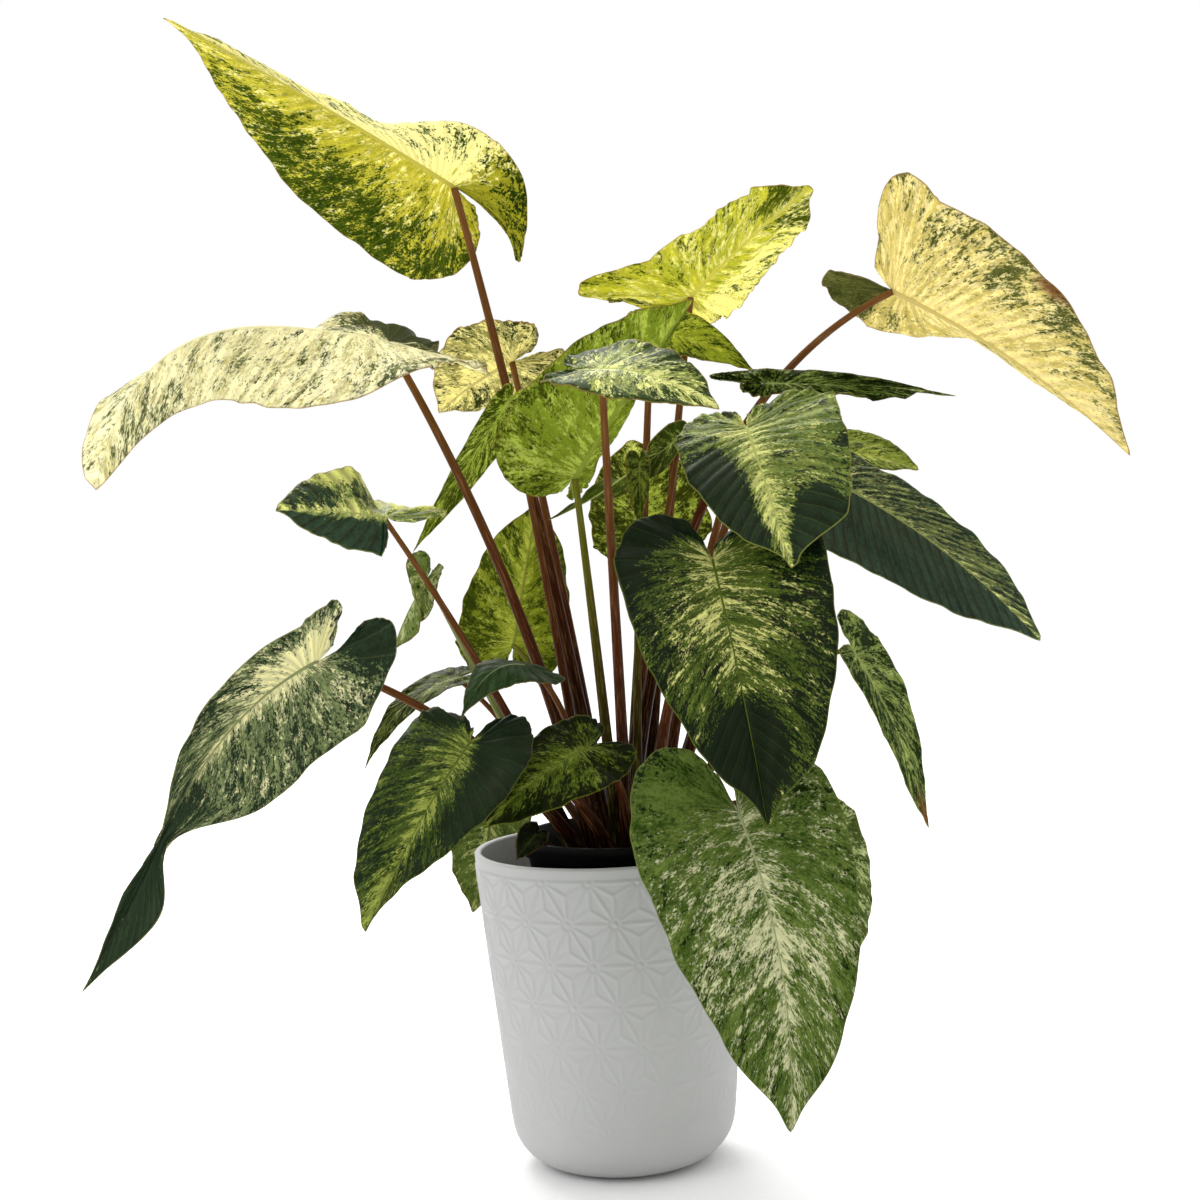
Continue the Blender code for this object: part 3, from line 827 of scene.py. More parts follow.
    def layers(self) -> dict[str, np.ndarray]:
        """Lay out what the finish reads at each grid point.

        Returns:
            The layer "vein": millimetres along and across the veins and from the margin;
            "marks": how common dark, pale and ground are; and "extra": the veins' phase,
            nearness to the midrib, and scorching.
        """
        look, spread, reach = self.leaf.look, self.spread, np.abs(self.signed)
        near = np.exp(-((spread / (look.band * max(self.leaf.half) * MM)) ** 2))
        margin = np.where(self.signed < 0, spread[:, :1], spread[:, -1:])
        taper = self.rib_width * (1.1 - 0.8 * self.share)[:, None]
        lobes = 6 * (1 - ease((self.share - 0.1) / 0.2))[:, None]
        parts = {
            "vein": (np.sign(self.signed) * spread / MM, self.crossed[:, None] / MM,
                     (margin - spread) / MM),
            "marks": (look.dark + look.rib_dark * near + look.edge_dark * reach ** 2,
                      look.pale + look.rib_pale * near, 0.0),
            "extra": (self.phase[:, None], np.minimum(spread / taper, 6) + lobes, 0.0),
        }
        made = {name: np.stack([np.broadcast_to(part, spread.shape) for part in three], axis=2)
                for name, three in parts.items()}
        for blot in look.blots:
            weight = blot.weight(self.share[:, None], reach, self.side)[:, :, None]
            made["marks"] += weight * (blot.dark, blot.pale, blot.ground)
            made["extra"] += weight * (0.0, 0.0, blot.burn)
        return made

    def sheet(self) -> Shape:
        """Bend a grid into the open blade, upper face outwards.

        Returns:
            The sheet, with the layers that its finish reads.
        """
        spots = np.stack([self.place(abs(s), side) for s, side in zip(self.signed, self.side)], axis=1)
        spots += self.normals(spots) * self.relief()[:, :, None]
        shape = bmesh.new()
        bmesh.ops.create_grid(shape, x_segments=self.rows, y_segments=2 * self.reaches, size=0.5)
        layers = self.layers()
        made = {name: shape.verts.layers.float_vector.new(name) for name in layers}
        for vert in shape.verts:
            row = round((vert.co.x + 0.5) * self.rows)
            column = round((vert.co.y + 0.5) * 2 * self.reaches)
            for name, layer in made.items():
                vert[layer] = layers[name][row, column]
            vert.co = spots[row, column]
        bmesh.ops.remove_doubles(shape, verts=shape.verts, dist=SAME)
        return shape

    def rib(self) -> Shape:
        """Run the raised midrib under the blade.

        Returns:
            A tube that tapers to the tip.
        """
        stout = self.rib_radius * min(1.0, 0.45 + max(self.leaf.half) / 90) * min(self.leaf.stout, 1.0)

        def radius(t: float, _: float) -> float:
            """Radius at a share of the way to the tip."""
            return stout + (self.tip_radius - stout) * t ** 0.8

        def path(t: float) -> Vector:
            """Place at a share of the way to the tip."""
            spot, _, _, up = self.axes(np.array((t * 0.97,)))
            return Vector(spot[0] - up[0] * (0.55 * radius(t, 0.0) + 0.4 * MM))

        return tube(path, radius, 26, 10)

    def shell(self) -> Shape:
        """Give the sheet its wall and its midrib.

        Returns:
            The whole blade, closed, with the materials of its upper and its under face.
        """
        holder = add_object("sheet", self.sheet(), [None for _ in Face])
        wall = holder.modifiers.new("wall", "SOLIDIFY")
        wall.thickness = self.thickness
        wall.offset = 0.0
        wall.material_offset = wall.material_offset_rim = 1
        graph = bpy.context.evaluated_depsgraph_get()
        solid = bpy.data.meshes.new_from_object(holder.evaluated_get(graph))
        bpy.data.objects.remove(holder, do_unlink=True)
        shape = bmesh.new()
        shape.from_mesh(solid)
        add_tube(shape, self.rib(), 1, vein=(0.0, 0.0, 9.0), marks=(-1.5, -0.2, 0.0),
                 extra=(0.5, 0.9, 0.0))
        return shape


@dataclass
class Stalk:
    """The stalk of one leaf: a tapering, faintly ridged stem with a swollen foot."""

    leaf: Leaf
    blade: Blade
    crown_x: float = 12.0 * MM
    ring_radii: tuple[float, ...] = (0.0, 12.0 * MM, 24.0 * MM, 35.0 * MM, 46.0 * MM)
    soil_top: float = 208.0 * MM
    foot_radius: float = 4.4 * MM
    top_radius: float = 2.1 * MM
    rings: int = 44
    sides: int = 16

    def ends(self) -> tuple[Vector, Vector, Vector]:
        """Work out where the stalk runs.

        Returns:
            Its foot, its bend and its upper end.
        """
        leaf = self.leaf
        angle = math.radians(leaf.at)
        ring = self.ring_radii[leaf.ring]
        attach = Vector(self.blade.attach)
        foot = Vector((self.crown_x + ring * math.cos(angle), ring * math.sin(angle), self.soil_top + GAP))
        out, up = leaf.rise
        bend = foot + Vector((out, out, up)) * (attach - foot)
        under = -Vector(self.blade.axes(np.zeros(1))[3][0])
        arrive = (attach - bend).normalized()
        lean = math.sqrt(max(0.0, 1 - arrive.dot(under) ** 2))
        return foot, bend, attach + under * (GAP + self.top_radius * leaf.stout * lean * 0.8)

    def radius(self, t: float, angle: float) -> float:
        """Radius of the stalk, with a swollen foot, a faint swelling at the blade and ridges.

        Args:
            t: share of the way up.
            angle: angle round the stalk.

        Returns:
            The radius in metres.
        """
        plain = self.foot_radius + (self.top_radius - self.foot_radius) * t
        foot = 1 + 0.2 * math.exp(-((t / 0.25) ** 2)) * (1 + 0.4 * math.cos(angle))
        knuckle = 1 + 0.12 * math.exp(-(((t - 1) / 0.03) ** 2))
        ridges = 1 + 0.025 * math.cos(5 * angle + 1.3 * self.leaf.at) * (1 - t)
        return plain * self.leaf.stout * foot * knuckle * ridges

    def build(self) -> Shape:
        """Bend the stalk from the soil to its blade.

        Returns:
            A closed tube.
        """
        foot, bend, end = self.ends()

        def path(t: float) -> Vector:
            """Place at a share of the way up."""
            return (1 - t) ** 2 * foot + 2 * t * (1 - t) * bend + t * t * end

        return tube(path, self.radius, self.rings, self.sides)


# Each leaf's skin has its own greens and creams: dark, mid, light and pale, and the light that comes
# through. The skins of high_left, crown_top, back_left, centre_underside, strap_left, twisted, back_centre
# and back_yellow are partly their own yellow-green and partly painted backlight glow, on top of the light
# that comes through.
LEAVES = (
    # Its lemon skin is partly painted backlight glow.
    Leaf("high_left", (-86, 40, 682), (-279, 20, 805), (80, 35), (46, 90), (90, 34), 1, 180,
         Marbling("#365408", "#acaa2a", "#e0d85c", "#fbf6bc", 0.5),
         Look(-0.25, -0.3, rib_pale=0.1, blots=(Blot(RIGHT, 0.65, 0.75, 0.25, 0.4, dark=0.35),
              Blot(RIGHT, 0.3, 0.85, 0.16, 0.3, dark=0.3), Blot(LEFT, 0.75, 0.6, 0.35, 0.9, pale=1.1),
              Blot(LEFT, 0.12, 0.6, 0.32, 0.9, dark=0.12, pale=-0.8, ground=-1.3))), rise=(0.45, 0.55),
         full=(-0.5, 0.1), fold=((50, 106, 100), (5, 5, 30)), drop=(75, 0), stout=1.1, pinch=0.55),
    Leaf("arching_left", (-130, -60, 572), (-311, -140, 484), (-95, 70), (58, 55), (65, 50), 2, 210,
         Marbling("#7c854e", "#c8c284", "#e8e2b2", "#fffbd8", 0.4, rib=0.8),
         Look(-0.3, 0.1, rib_dark=-0.1, rib_pale=0.1, edge_dark=0.0, blots=(
              Blot(RIGHT, 0.15, 0.6, 0.35, 0.8, dark=1.5, pale=-1.0, ground=-2.0),
              Blot(LEFT, 0.1, 0.3, 0.1, 0.5, dark=0.6), Blot(LEFT, 0.5, 0.8, 0.1, 0.4, dark=0.25),
              Blot(LEFT, 0.93, 0.7, 0.07, 0.5, dark=0.2))), rise=(0.32, 0.55), full=(0.3, 0.6),
         fold=((-5, -60, -60), (5, -60, 20)), arch=38, late_arch=25, stout=1.1, ruffle=1.8, drip=0.0),
    Leaf("mid_left", (-136, -90, 457), (-205, -100, 465), (-90, 30), (26, 36), (3, 50), 3, 212,
         Marbling("#2c4636", "#50663a", "#96a454", "#dcde8c", 0.25, shine=0.3, hem=0.15, pleat_shade=0.4),
         Look(-0.3, -0.15, rib_pale=0.4, blots=(Blot(LEFT, 0.6, 0.7, 0.5, 0.55, dark=1.4, pale=-1.0),
              Blot(RIGHT, 0.9, 0.4, 0.1, 0.6, dark=0.5),
              Blot(RIGHT, 0.5, 0.95, 0.4, 0.35, pale=0.5, dark=-0.4))), rise=(0.45, 0.55),
         full=(0.1, 0.6), fold=(-10, (-44, -5, -10)), arch=4, splay=(0, 0.4), stout=0.8, quilt=2.4),
    Leaf("low_left", (-182, -120, 368), (-328, -190, 178), (-80, 35), (54, 26), (56, 30), 3, 228,
         Marbling("#1e3826", "#4c6040", "#98a46a", "#efebb8", 0.25, shine=0.3, hem=0.2, pleat_shade=0.2),
         Look(-0.1, -0.22, rib_pale=0.5, rib_dark=-0.4, blots=(
              Blot(BOTH, 0.93, 0.5, 0.13, 0.9, dark=0.9, pale=-0.5),
              Blot(RIGHT, 0.3, 0.3, 0.32, 0.4, pale=0.6, dark=-0.45),
              Blot(LEFT, 0.1, 0.7, 0.25, 0.4, dark=0.8, pale=-0.4))), rise=(0.4, 0.72), full=(0.1, -0.2),
         fold=(-10, (40, 55, 30)), arch=15, sway=29, late_sway=-18, splay=(-0.4, 0.5), waist=(0.85, 0.6)),
    Leaf("front_left", (-85, -150, 315), (-148, -230, 215), (-85, 35), (40, 38), (42, 20), 3, 260,
         Marbling("#142c1a", "#284012", "#5a6e26", "#a2ac50", 0.3, streak=(14.0, 3.6), shine=0.25,
                  hem=0.2, pleat_shade=0.2), Look(-0.1, -0.4, rib_pale=0.5, band=0.35, blots=(
              Blot(LEFT, 0.42, 0.65, 0.32, 0.5, dark=1.4, pale=-0.8),
              Blot(RIGHT, 0.25, 0.8, 0.22, 0.4, dark=0.6))), rise=(0.4, 0.9), full=(-0.4, 0.5),
         fold=(0, 5), arch=14),
    Leaf("front_centre", (-12, -110, 303), (-80, -150, 260), (-90, 35), (31, 26), (30, 24), 3, 277,
         Marbling("#121e02", "#3c500c", "#6a7c24", "#8f9c42", 0.3, hem=0.2),
         Look(-0.15, -0.3, edge_dark=0.7), rise=(0.2, 0.9), full=(0.2, 0.2), fold=(0, 5), arch=10,
         stout=0.8),
    Leaf("front_right", (81, -150, 263), (101, -200, 72), (-90, 10), (60, 72), (35, 54), 3, 300,
         Marbling("#182a08", "#2a460a", "#70843c", "#d6d6aa", 0.25, soft=0.2, rib=0.9, hem=0.1),
         Look(-0.45, -0.35, rib_pale=0.35, rib_dark=-0.3, band=0.14, blots=(
              Blot(BOTH, 0.82, 0.35, 0.14, 0.5, pale=0.15), Blot(RIGHT, 0.68, 0.45, 0.1, 0.4, pale=0.2),
              Blot(RIGHT, 0.2, 0.7, 0.3, 0.6, pale=-0.8),
              Blot(LEFT, 0.2, 0.8, 0.25, 0.5, pale=-0.3, dark=0.2))), rise=(0.45, 1.3), full=(0.2, 0.25),
         fold=(10, 10), arch=12, sway=-10, drop=(30, 0), stout=1.1),
    Leaf("centre_heart", (73, -130, 421), (96, -190, 259), (-85, 15), (70, 66), (20, 34), 2, 300,
         Marbling("#081c12", "#1c340a", "#607228", "#d4d482", 0.2, streak=(13.0, 3.4), shine=0.2,
                  rib=0.0, hem=0.1, pleat_shade=0.25),
         Look(-0.2, -0.5, rib_dark=-0.4, rib_pale=0.45, band=0.28, edge_dark=0.4, blots=(
              Blot(RIGHT, 0.94, 0.45, 0.09, 0.9, dark=1.6, pale=-1.2),
              Blot(LEFT, 0.95, 0.2, 0.09, 0.5, dark=1.6, pale=-1.2),
              Blot(RIGHT, 0.2, 0.85, 0.35, 0.35, dark=0.9, pale=-0.4),
              Blot(LEFT, 0.3, 0.9, 0.25, 0.3, dark=0.6), Blot(BOTH, 0.72, 0.6, 0.14, 0.4, pale=0.22))),
         rise=(0.3, 0.6), full=(0.4, 0.15), fold=(12, 15), arch=10, stout=1.1, drip=0.6),
    Leaf("upper_heart", (101, -90, 504), (120, -160, 415), (-100, 35), (60, 48), (20, 28), 2, 330,
         Marbling("#1a3022", "#4c6829", "#94a048", "#dee088", 0.25, streak=(13.0, 3.6), shine=0.25,
                  hem=0.1, pleat_shade=0.25),
         Look(-0.25, -0.35, rib_dark=-0.3, rib_pale=0.45, band=0.22, blots=(
              Blot(LEFT, 0.92, 0.75, 0.08, 0.42, dark=1.4, pale=-0.8),
              Blot(RIGHT, 0.76, 0.8, 0.16, 0.5, dark=1.4, pale=-0.8))), rise=(0.3, 0.55),
         full=(0.7, 0.3), fold=(5, 0), arch=10, drip=0.75),
    Leaf("right_dark", (150, 0, 473), (292, -60, 353), (-75, 40), (29, 50), (25, 30), 2, 0,
         Marbling("#2a443a", "#4c6440", "#a0ac60", "#dcdc90", 0.2, shine=0.4, hem=0.1, pleat_shade=0.5),
         Look(0.0, -0.3, blots=(Blot(RIGHT, 0.5, 0.5, 0.6, 0.6, dark=1.4, pale=-0.6),)),
         rise=(0.35, 0.6), full=(0.5, 0.35), fold=(10, -15), arch=8, sway=-6, quilt=2.6),
    Leaf("furled_right", (121, -22, 533), (245, -40, 518), (-90, 20), (10, 10), (40, 18), 1, 0,
         Marbling("#0e2200", "#40580c", "#8c9c48", "#c4ce8c", 0.25, pleat_shade=0.3), Look(0.0, -0.4),
         fold=(15, 15), ruffle=5.0, quilt=2.0),
    Leaf("high_right", (210, -10, 592), (356, -60, 473), (75, 35), (38, 72), (46, 37), 0, 0,
         Marbling("#606a2c", "#ccc07a", "#e6da90", "#f8eeba", 0.45),
         Look(-0.37, 0.0, rib_pale=0.2, blots=(Blot(RIGHT, 0.72, 0.85, 0.2, 0.35, dark=0.32),
              Blot(RIGHT, 0.72, 0.98, 0.03, 0.1, burn=0.9),
              Blot(LEFT, 0.1, 0.6, 0.3, 0.9, dark=1.7, pale=-1.0))), rise=(0.18, 0.82), full=(0.2, 0.2),
         fold=((10, 52, 60), 5), arch=15, splay=(0, 0.9)),
    Leaf("right_narrow", (177, 30, 345), (223, 10, 219), (-50, 15), (26, 14), (30, 5), 3, 10,
         Marbling("#1e3812", "#708846", "#b2c068", "#dce494", 0.25, hem=0.2), Look(0.03, -0.47, blots=(
              Blot(BOTH, 1.0, 0.5, 0.06, 1.0, burn=0.9),)), rise=(0.35, 1.0), full=(-0.2, 0.6),
         fold=(5, 0), arch=8, stout=0.8),
    # Its lemon skin is partly painted backlight glow.
    Leaf("crown_top", (76, 70, 600), (161, 20, 668), (100, 30), (44, 38), (12, 54), 2, 60,
         Marbling("#54680c", "#b2b83c", "#e2de5e", "#f8f4b4", 0.5),
         Look(-0.38, -0.2, rib_pale=0.1, edge_dark=0.2, blots=(Blot(BOTH, 0.95, 0.5, 0.1, 0.9, dark=0.4),
              Blot(LEFT, 0.6, 0.8, 0.4, 0.5, pale=0.6))), full=(0.5, 0.4), fold=(20, (25, 60, 58)),
         splay=(0, 0.8), ruffle=2.0),
    Leaf("near_top", (8, -170, 543), (77, -215, 514), (-90, 35), (30, 30), (48, 40), 2, 270,
         Marbling("#38501f", "#76883a", "#b4bc60", "#f8f8a4", 0.3), Look(-0.1, -0.1, edge_dark=0.4),
         full=(0.3, 0.3), fold=(-10, (25, 10, 10)), arch=10),
    # Its lime skin is partly painted backlight glow.
    Leaf("back_left", (-64, 78, 355), (-42, 92, 457), (90, 10), (38, 42), (22, 22), 2, 150,
         Marbling("#4a5a12", "#86922c", "#a2aa40", "#c0c664", 0.5), Look(-0.15, -0.2, edge_dark=0.3),
         rise=(0.5, 0.9), full=(0.4, 0.4), stout=0.8, stalk=StalkTone.OLIVE),
    # Its lime skin is partly painted backlight glow.
    Leaf("centre_underside", (-12, -60, 476), (69, -110, 586), (100, 25), (15, 60), (15, 25), 1, 240,
         Marbling("#465410", "#7e8e22", "#9aaa3a", "#c6d06a", 0.5), Look(-0.3, -0.2), full=(0.3, 0.3),
         fold=(30, 10), stalk=StalkTone.OLIVE),
    Leaf("pale_back", (-54, 90, 561), (-112, 130, 528), (100, 40), (45, 50), (42, 44), 2, 120,
         Marbling("#36440c", "#7c7c3e", "#ccc478", "#f8f0b0", 0.4), Look(-0.26, 0.0), full=(0.3, 0.3)),
    Leaf("dark_centre", (-50, -105, 358), (-91, -140, 328), (-90, 60), (18, 18), (36, 34), 3, 244,
         Marbling("#2a4422", "#4c6434", "#76845a", "#a8b080", 0.2, pleat_shade=0.3), Look(0.8, -0.8),
         rise=(0.4, 0.9), fold=(-20, -10), arch=15, stout=0.7),
    Leaf("ribbon_left", (-99, -22, 344), (-162, -52, 289), (-120, 50), (13, 16), (18, 22), 3, 178,
         Marbling("#142400", "#46581a", "#7e8c30", "#ccd090", 0.4), Look(0.0, -0.4), rise=(0.4, 0.7),
         fold=(0, 0), arch=14, stout=0.7),
    Leaf("young_left", (-114, -40, 414), (-139, -56, 366), (-90, 20), (14, 22), (10, 12), 3, 195,
         Marbling("#3c5410", "#728a40", "#9cab64", "#dce0a8", 0.35), Look(-0.3, -0.2), rise=(0.5, 0.5),
         fold=(50, 50), twist=150, rolled=True, stout=0.9, stalk=StalkTone.GREEN),
    Leaf("behind_rim", (-86, 110, 243), (-106, 120, 153), (60, 10), (45, 32), (15, 15), 3, 130,
         Marbling("#2c3e10", "#3c4e1c", "#5c6c2e", "#a0a464", 0.3), Look(-0.3, -0.3), rise=(0.4, 2.2),
         full=(0.3, 0.3), stout=0.8),
    Leaf("rim_small", (-50, -50, 238), (-64, -58, 223), (-90, 20), (9, 11), (8, 8), 4, 205,
         Marbling("#0a1406", "#1c2410", "#34401a", "#4c582c", 0.2), Look(0.3, -0.6), rise=(0.4, 0.6),
         arch=3, rolled=True, stout=0.6),
    Leaf("back_right", (141, 60, 484), (230, 40, 469), (-80, 50), (26, 22), (20, 26), 2, 30,
         Marbling("#42561e", "#7c8c38", "#aeb858", "#d2d67c", 0.45), Look(-0.2, -0.4), full=(0.5, 0.5),
         arch=8),
    # Its lime skin is partly painted backlight glow.
    Leaf("strap_left", (-54, -10, 531), (-124, -30, 431), (-60, 30), (16, 12), (12, 10), 2, 180,
         Marbling("#586a14", "#b8c84c", "#dce878", "#f0f4a8", 0.45), Look(0.0, -0.5), fold=(30, 30),
         arch=-6, stout=0.8),
    # Its lime skin is partly painted backlight glow.
    Leaf("twisted", (62, 20, 500), (-32, -20, 448), (-90, 30), (12, 12), (10, 10), 1, 120,
         Marbling("#465a12", "#8a9a40", "#b0bc60", "#d8dc90", 0.35), Look(0.2, -0.5), fold=(30, 30),
         arch=-8, twist=360, stout=0.8),
    Leaf("young_centre", (32, -30, 484), (30, -42, 439), (-90, 10), (8, 11), (8, 8), 1, 300,
         Marbling("#364608", "#667424", "#849034", "#a0aa4c", 0.3), Look(0.0, -0.5), fold=(30, 30),
         arch=3, rolled=True, stout=0.8, stalk=StalkTone.OLIVE),
    # Its lime skin is partly painted backlight glow.
    Leaf("back_centre", (35, 70, 430), (28, 55, 500), (90, 10), (50, 38), (15, 15), 2, 90,
         Marbling("#4a5210", "#9aa642", "#c8d26c", "#ecf0a4", 0.5), Look(0.0, -0.35), full=(0.4, 0.4),
         stout=0.8, stalk=StalkTone.OLIVE),
    # Its lime skin is partly painted backlight glow.
    Leaf("back_yellow", (46, 60, 577), (118, 40, 543), (-90, 40), (22, 22), (24, 20), 1, 60,
         Marbling("#44560a", "#869418", "#b6be38", "#dadc5c", 0.5), Look(-0.2, -0.3), arch=8),
    Leaf("behind_right", (155, 60, 214), (170, 50, 118), (-60, 10), (28, 28), (20, 20), 3, 40,
         Marbling("#5a6c2c", "#a4b474", "#c4ce94", "#e2e6c0", 0.35), Look(0.0, -0.4), rise=(0.35, 10),
         full=(0.4, 0.4), stout=0.8),
)


@dataclass
class Foliage:
    """All leaves with their stalks."""

    leaves: tuple[Leaf, ...]
    stalk_skins: dict[StalkTone, Finish] = field(default_factory=dict)

    def slot(self, node: str) -> str:
        """The record's slot for a CAD node."""
        return next(part["material_slot"] for part in frame["record"]["subparts"] if part["node"] == node)

    def grow(self, leaf: Leaf, seed: int) -> None:
        """Build one leaf.

        Args:
            leaf: its row.
            seed: sets its waves and marbling apart from the others.
        """
        blade = Blade(leaf, seed)
        stalk = Stalk(leaf, blade).build()
        bark = self.stalk_skins[leaf.stalk]
        skins = [leaf.skin.material(leaf.name, face, seed) for face in Face]
        shape = blade.shell()
        if leaf.rolled:
            node = f"leaf_{leaf.name}"
            add_tube(shape, stalk, len(skins))
            add_piece(f"spear_{leaf.name}", shape, [*skins, bark], self.slot(node), node)
            return
        node = f"blade_{leaf.name}"
        add_piece(f"lamina_{leaf.name}", shape, skins, self.slot(node), node)
        add_piece(f"stalk_{leaf.name}", stalk, [bark], "petiole", f"petiole_{leaf.name}")

    def build(self) -> None:
        """Build every leaf."""
        self.stalk_skins = {tone: tone.value.material(tone.name.lower()) for tone in StalkTone}
        for seed, leaf in enumerate(self.leaves):
            self.grow(leaf, seed)


# ---------------------------------------------------------------- pots and soil


@dataclass
class CoverPot:
    """The white cover pot, with a star lattice pressed into its outer wall."""

    height: float
    rim_radius: float
    foot_radius: float = 75.0 * MM
    corner_radius: float = 34.0 * MM
    wall: float = 5.0 * MM
    lip: float = 2.0 * MM
    # Eighteen stars go round, and their rows are this far apart from the top row down.
    stars: int = 18
    top_row: float = 211.5 * MM
    row_pitch: float = 28.58 * MM
    last_row: float = 30.0 * MM
    ridge: float = 0.9 * MM
    ridge_width: float = 0.95 * MM
    hub: float = 1.8 * MM
    # The ridges begin this far from a hub's middle, and each thing eases in over a stretch.
    ridge_start: float = 2.6 * MM
    ridge_ease: float = 1.6 * MM
    hub_ease: float = 1.2 * MM
    top_ease: float = 1.5 * MM
    foot_ease: float = 8.0 * MM
    # Low down the lattice is only so deep; it deepens from one height over so much more.
    shallow: float = 0.45
    deepens: Pair = (50.0 * MM, 120.0 * MM)
    steps_a_star: int = 28
    rows_a_star: int = 24

    def wall_radius(self, z: float, inset: float = 0.0) -> float:
        """Radius of the straight wall at a height."""
        return self.foot_radius + (self.rim_radius - self.foot_radius) * z / self.height - inset

    def corner(self, inset: float, steps: int) -> list[Pair]:
        """Round the wall into the foot.

        Args:
            inset: how far inside the outer wall.
            steps: steps of the arc.

        Returns:
            Points from the wall down to the flat.
        """
        slope = (self.rim_radius - self.foot_radius) / self.height
        radius = self.corner_radius - inset
        centre = (self.wall_radius(inset + radius, inset) - radius * math.hypot(1, slope), inset + radius)
        return arc(centre, radius, -math.degrees(slope), -90, steps)

    def profile(self) -> list[Pair]:
        """Lay out the pot's section.

        Returns:
            Points from the axis inside, over the lip and down outside.
        """
        top = self.height - self.lip
        rim = (self.wall_radius(self.height, self.wall), top)
        inside = [(0, self.wall), *reversed(self.corner(self.wall, 6)), rim]
        lip = arc((self.rim_radius - self.wall / 2, top), self.wall / 2, 160, 20, 6)
        foot = self.corner(0.0, 16)
        low = foot[0][1]
        rows = round((top - low) / (self.row_pitch / self.rows_a_star))
        straight = [(self.wall_radius(z), z) for z in np.linspace(top, low, rows + 1)[:-1]]
        return inside + [(r, min(z, self.height)) for r, z in lip] + straight + foot + [(0, 0)]

    def relief(self, angle: np.ndarray, z: np.ndarray, radius: np.ndarray) -> np.ndarray:
        """Height of the pressed lattice.

        Args:
            angle: angle round the pot.
            z: height above the ground.
            radius: radius of the wall.

        Returns:
            How far the wall stands out at each point.
        """
        turn = angle * self.stars / (2 * math.pi)
        line = (self.top_row - z) / self.row_pitch
        pitch = 2 * math.pi * radius / self.stars
        best = np.full(len(z), np.inf)
        ray = np.zeros(len(z))
        for step in (-1, 0, 1):
            row = np.round(line) + step
            shift = (row % 2) / 2
            dx = (turn - shift - np.round(turn - shift)) * pitch
            dz = (line - row) * self.row_pitch
            far = np.hypot(dx, dz)
            bearing = np.degrees(np.arctan2(dz / self.row_pitch * math.sqrt(3) / 2, dx / pitch))
            off = (bearing + 15) % 30 - 15
            ray = np.where(far < best, far * np.abs(np.sin(np.radians(off))), ray)
            best = np.minimum(best, far)
        ridges = (np.exp(-((ray / self.ridge_width) ** 2))
                  * ease((best - self.ridge_start) / self.ridge_ease))
        hubs = ease((self.hub + self.hub_ease / 2 - best) / self.hub_ease)
        shown = (ease((z - self.last_row) / self.foot_ease)
                 * ease((self.top_row + self.top_ease - z) / self.top_ease))
        start, stretch = self.deepens
        strength = self.shallow + (1 - self.shallow) * ease((z - start) / stretch)
        return self.ridge * np.maximum(ridges, hubs) * shown * strength

    def build(self) -> None:
        """Turn the pot, press its lattice and dress it."""
        shape = turned(self.profile(), self.stars * self.steps_a_star)
        outer = [v for v in shape.verts
                 if math.hypot(v.co.x, v.co.y) > self.wall_radius(v.co.z) - 1 * MM
                 and self.last_row < v.co.z < self.height - self.lip]
        places = np.array([v.co for v in outer])
        radius = np.hypot(places[:, 0], places[:, 1])
        lift = self.relief(np.arctan2(places[:, 1], places[:, 0]), places[:, 2], radius)
        for vert, out, r in zip(outer, lift, radius):
            vert.co.x *= 1 + out / r
            vert.co.y *= 1 + out / r
        add_piece("cover_pot", shape, [STONEWARE.material()], "pot", "pot")


@dataclass
class NurseryPot:
    """The black nursery pot, with a stepped and beaded rim."""

    top: float
    rim_radius: float
    x: float = 12.0 * MM
    foot_radius: float = 33.0 * MM
    wall: float = 1.5 * MM
    bead: float = 2.5 * MM
    bead_height: float = 12.0 * MM
    floor: float = 5.3 * MM
    # Radii of the rim's inner and outer edge, and the bead's upper band, groove and chamfers.
    inner_round: float = 1.2 * MM
    outer_round: float = 1.6 * MM
    band: float = 5.0 * MM
    groove: float = 0.7 * MM
    chamfer: float = 0.6 * MM
    foot_chamfer: float = 3.0 * MM

    def radius(self, z: float, inset: float = 0.0) -> float:
        """Radius of the tapered wall at a height."""
        share = (z - self.floor) / (self.top - self.floor)
        return self.foot_radius + (self.rim_radius - self.foot_radius) * share - inset

    def build(self) -> None:
        """Turn the pot with its beaded rim."""
        outer = self.rim_radius + self.bead
        low = self.top - self.bead_height
        inner, rolled, cut = self.inner_round, self.outer_round, self.chamfer
        profile = [
            (0, self.floor + self.wall),
            (self.radius(self.floor + self.wall, self.wall), self.floor + self.wall),
            (self.radius(low, self.wall), low),
            (self.radius(self.top, self.wall) - 0.2 * MM, self.top - inner),
            *arc((self.rim_radius, self.top - inner), inner, 150, 60, 4),
            *arc((outer - rolled, self.top - rolled), rolled, 80, 0, 4),
            (outer, low + self.band),
            (outer - self.groove, low + self.band - cut),
            (outer - self.groove, low + cut),
            (outer - 2 * cut, low),
            (self.radius(low), low),
            (self.radius(self.floor + self.foot_chamfer), self.floor + self.foot_chamfer),
            (self.radius(self.floor, self.wall), self.floor),
            (0, self.floor),
        ]
        shape = turned(profile, 144, self.x)
        add_piece("nursery_pot", shape, [POLYPROPYLENE.material()], "grower_pot", "grower_pot")


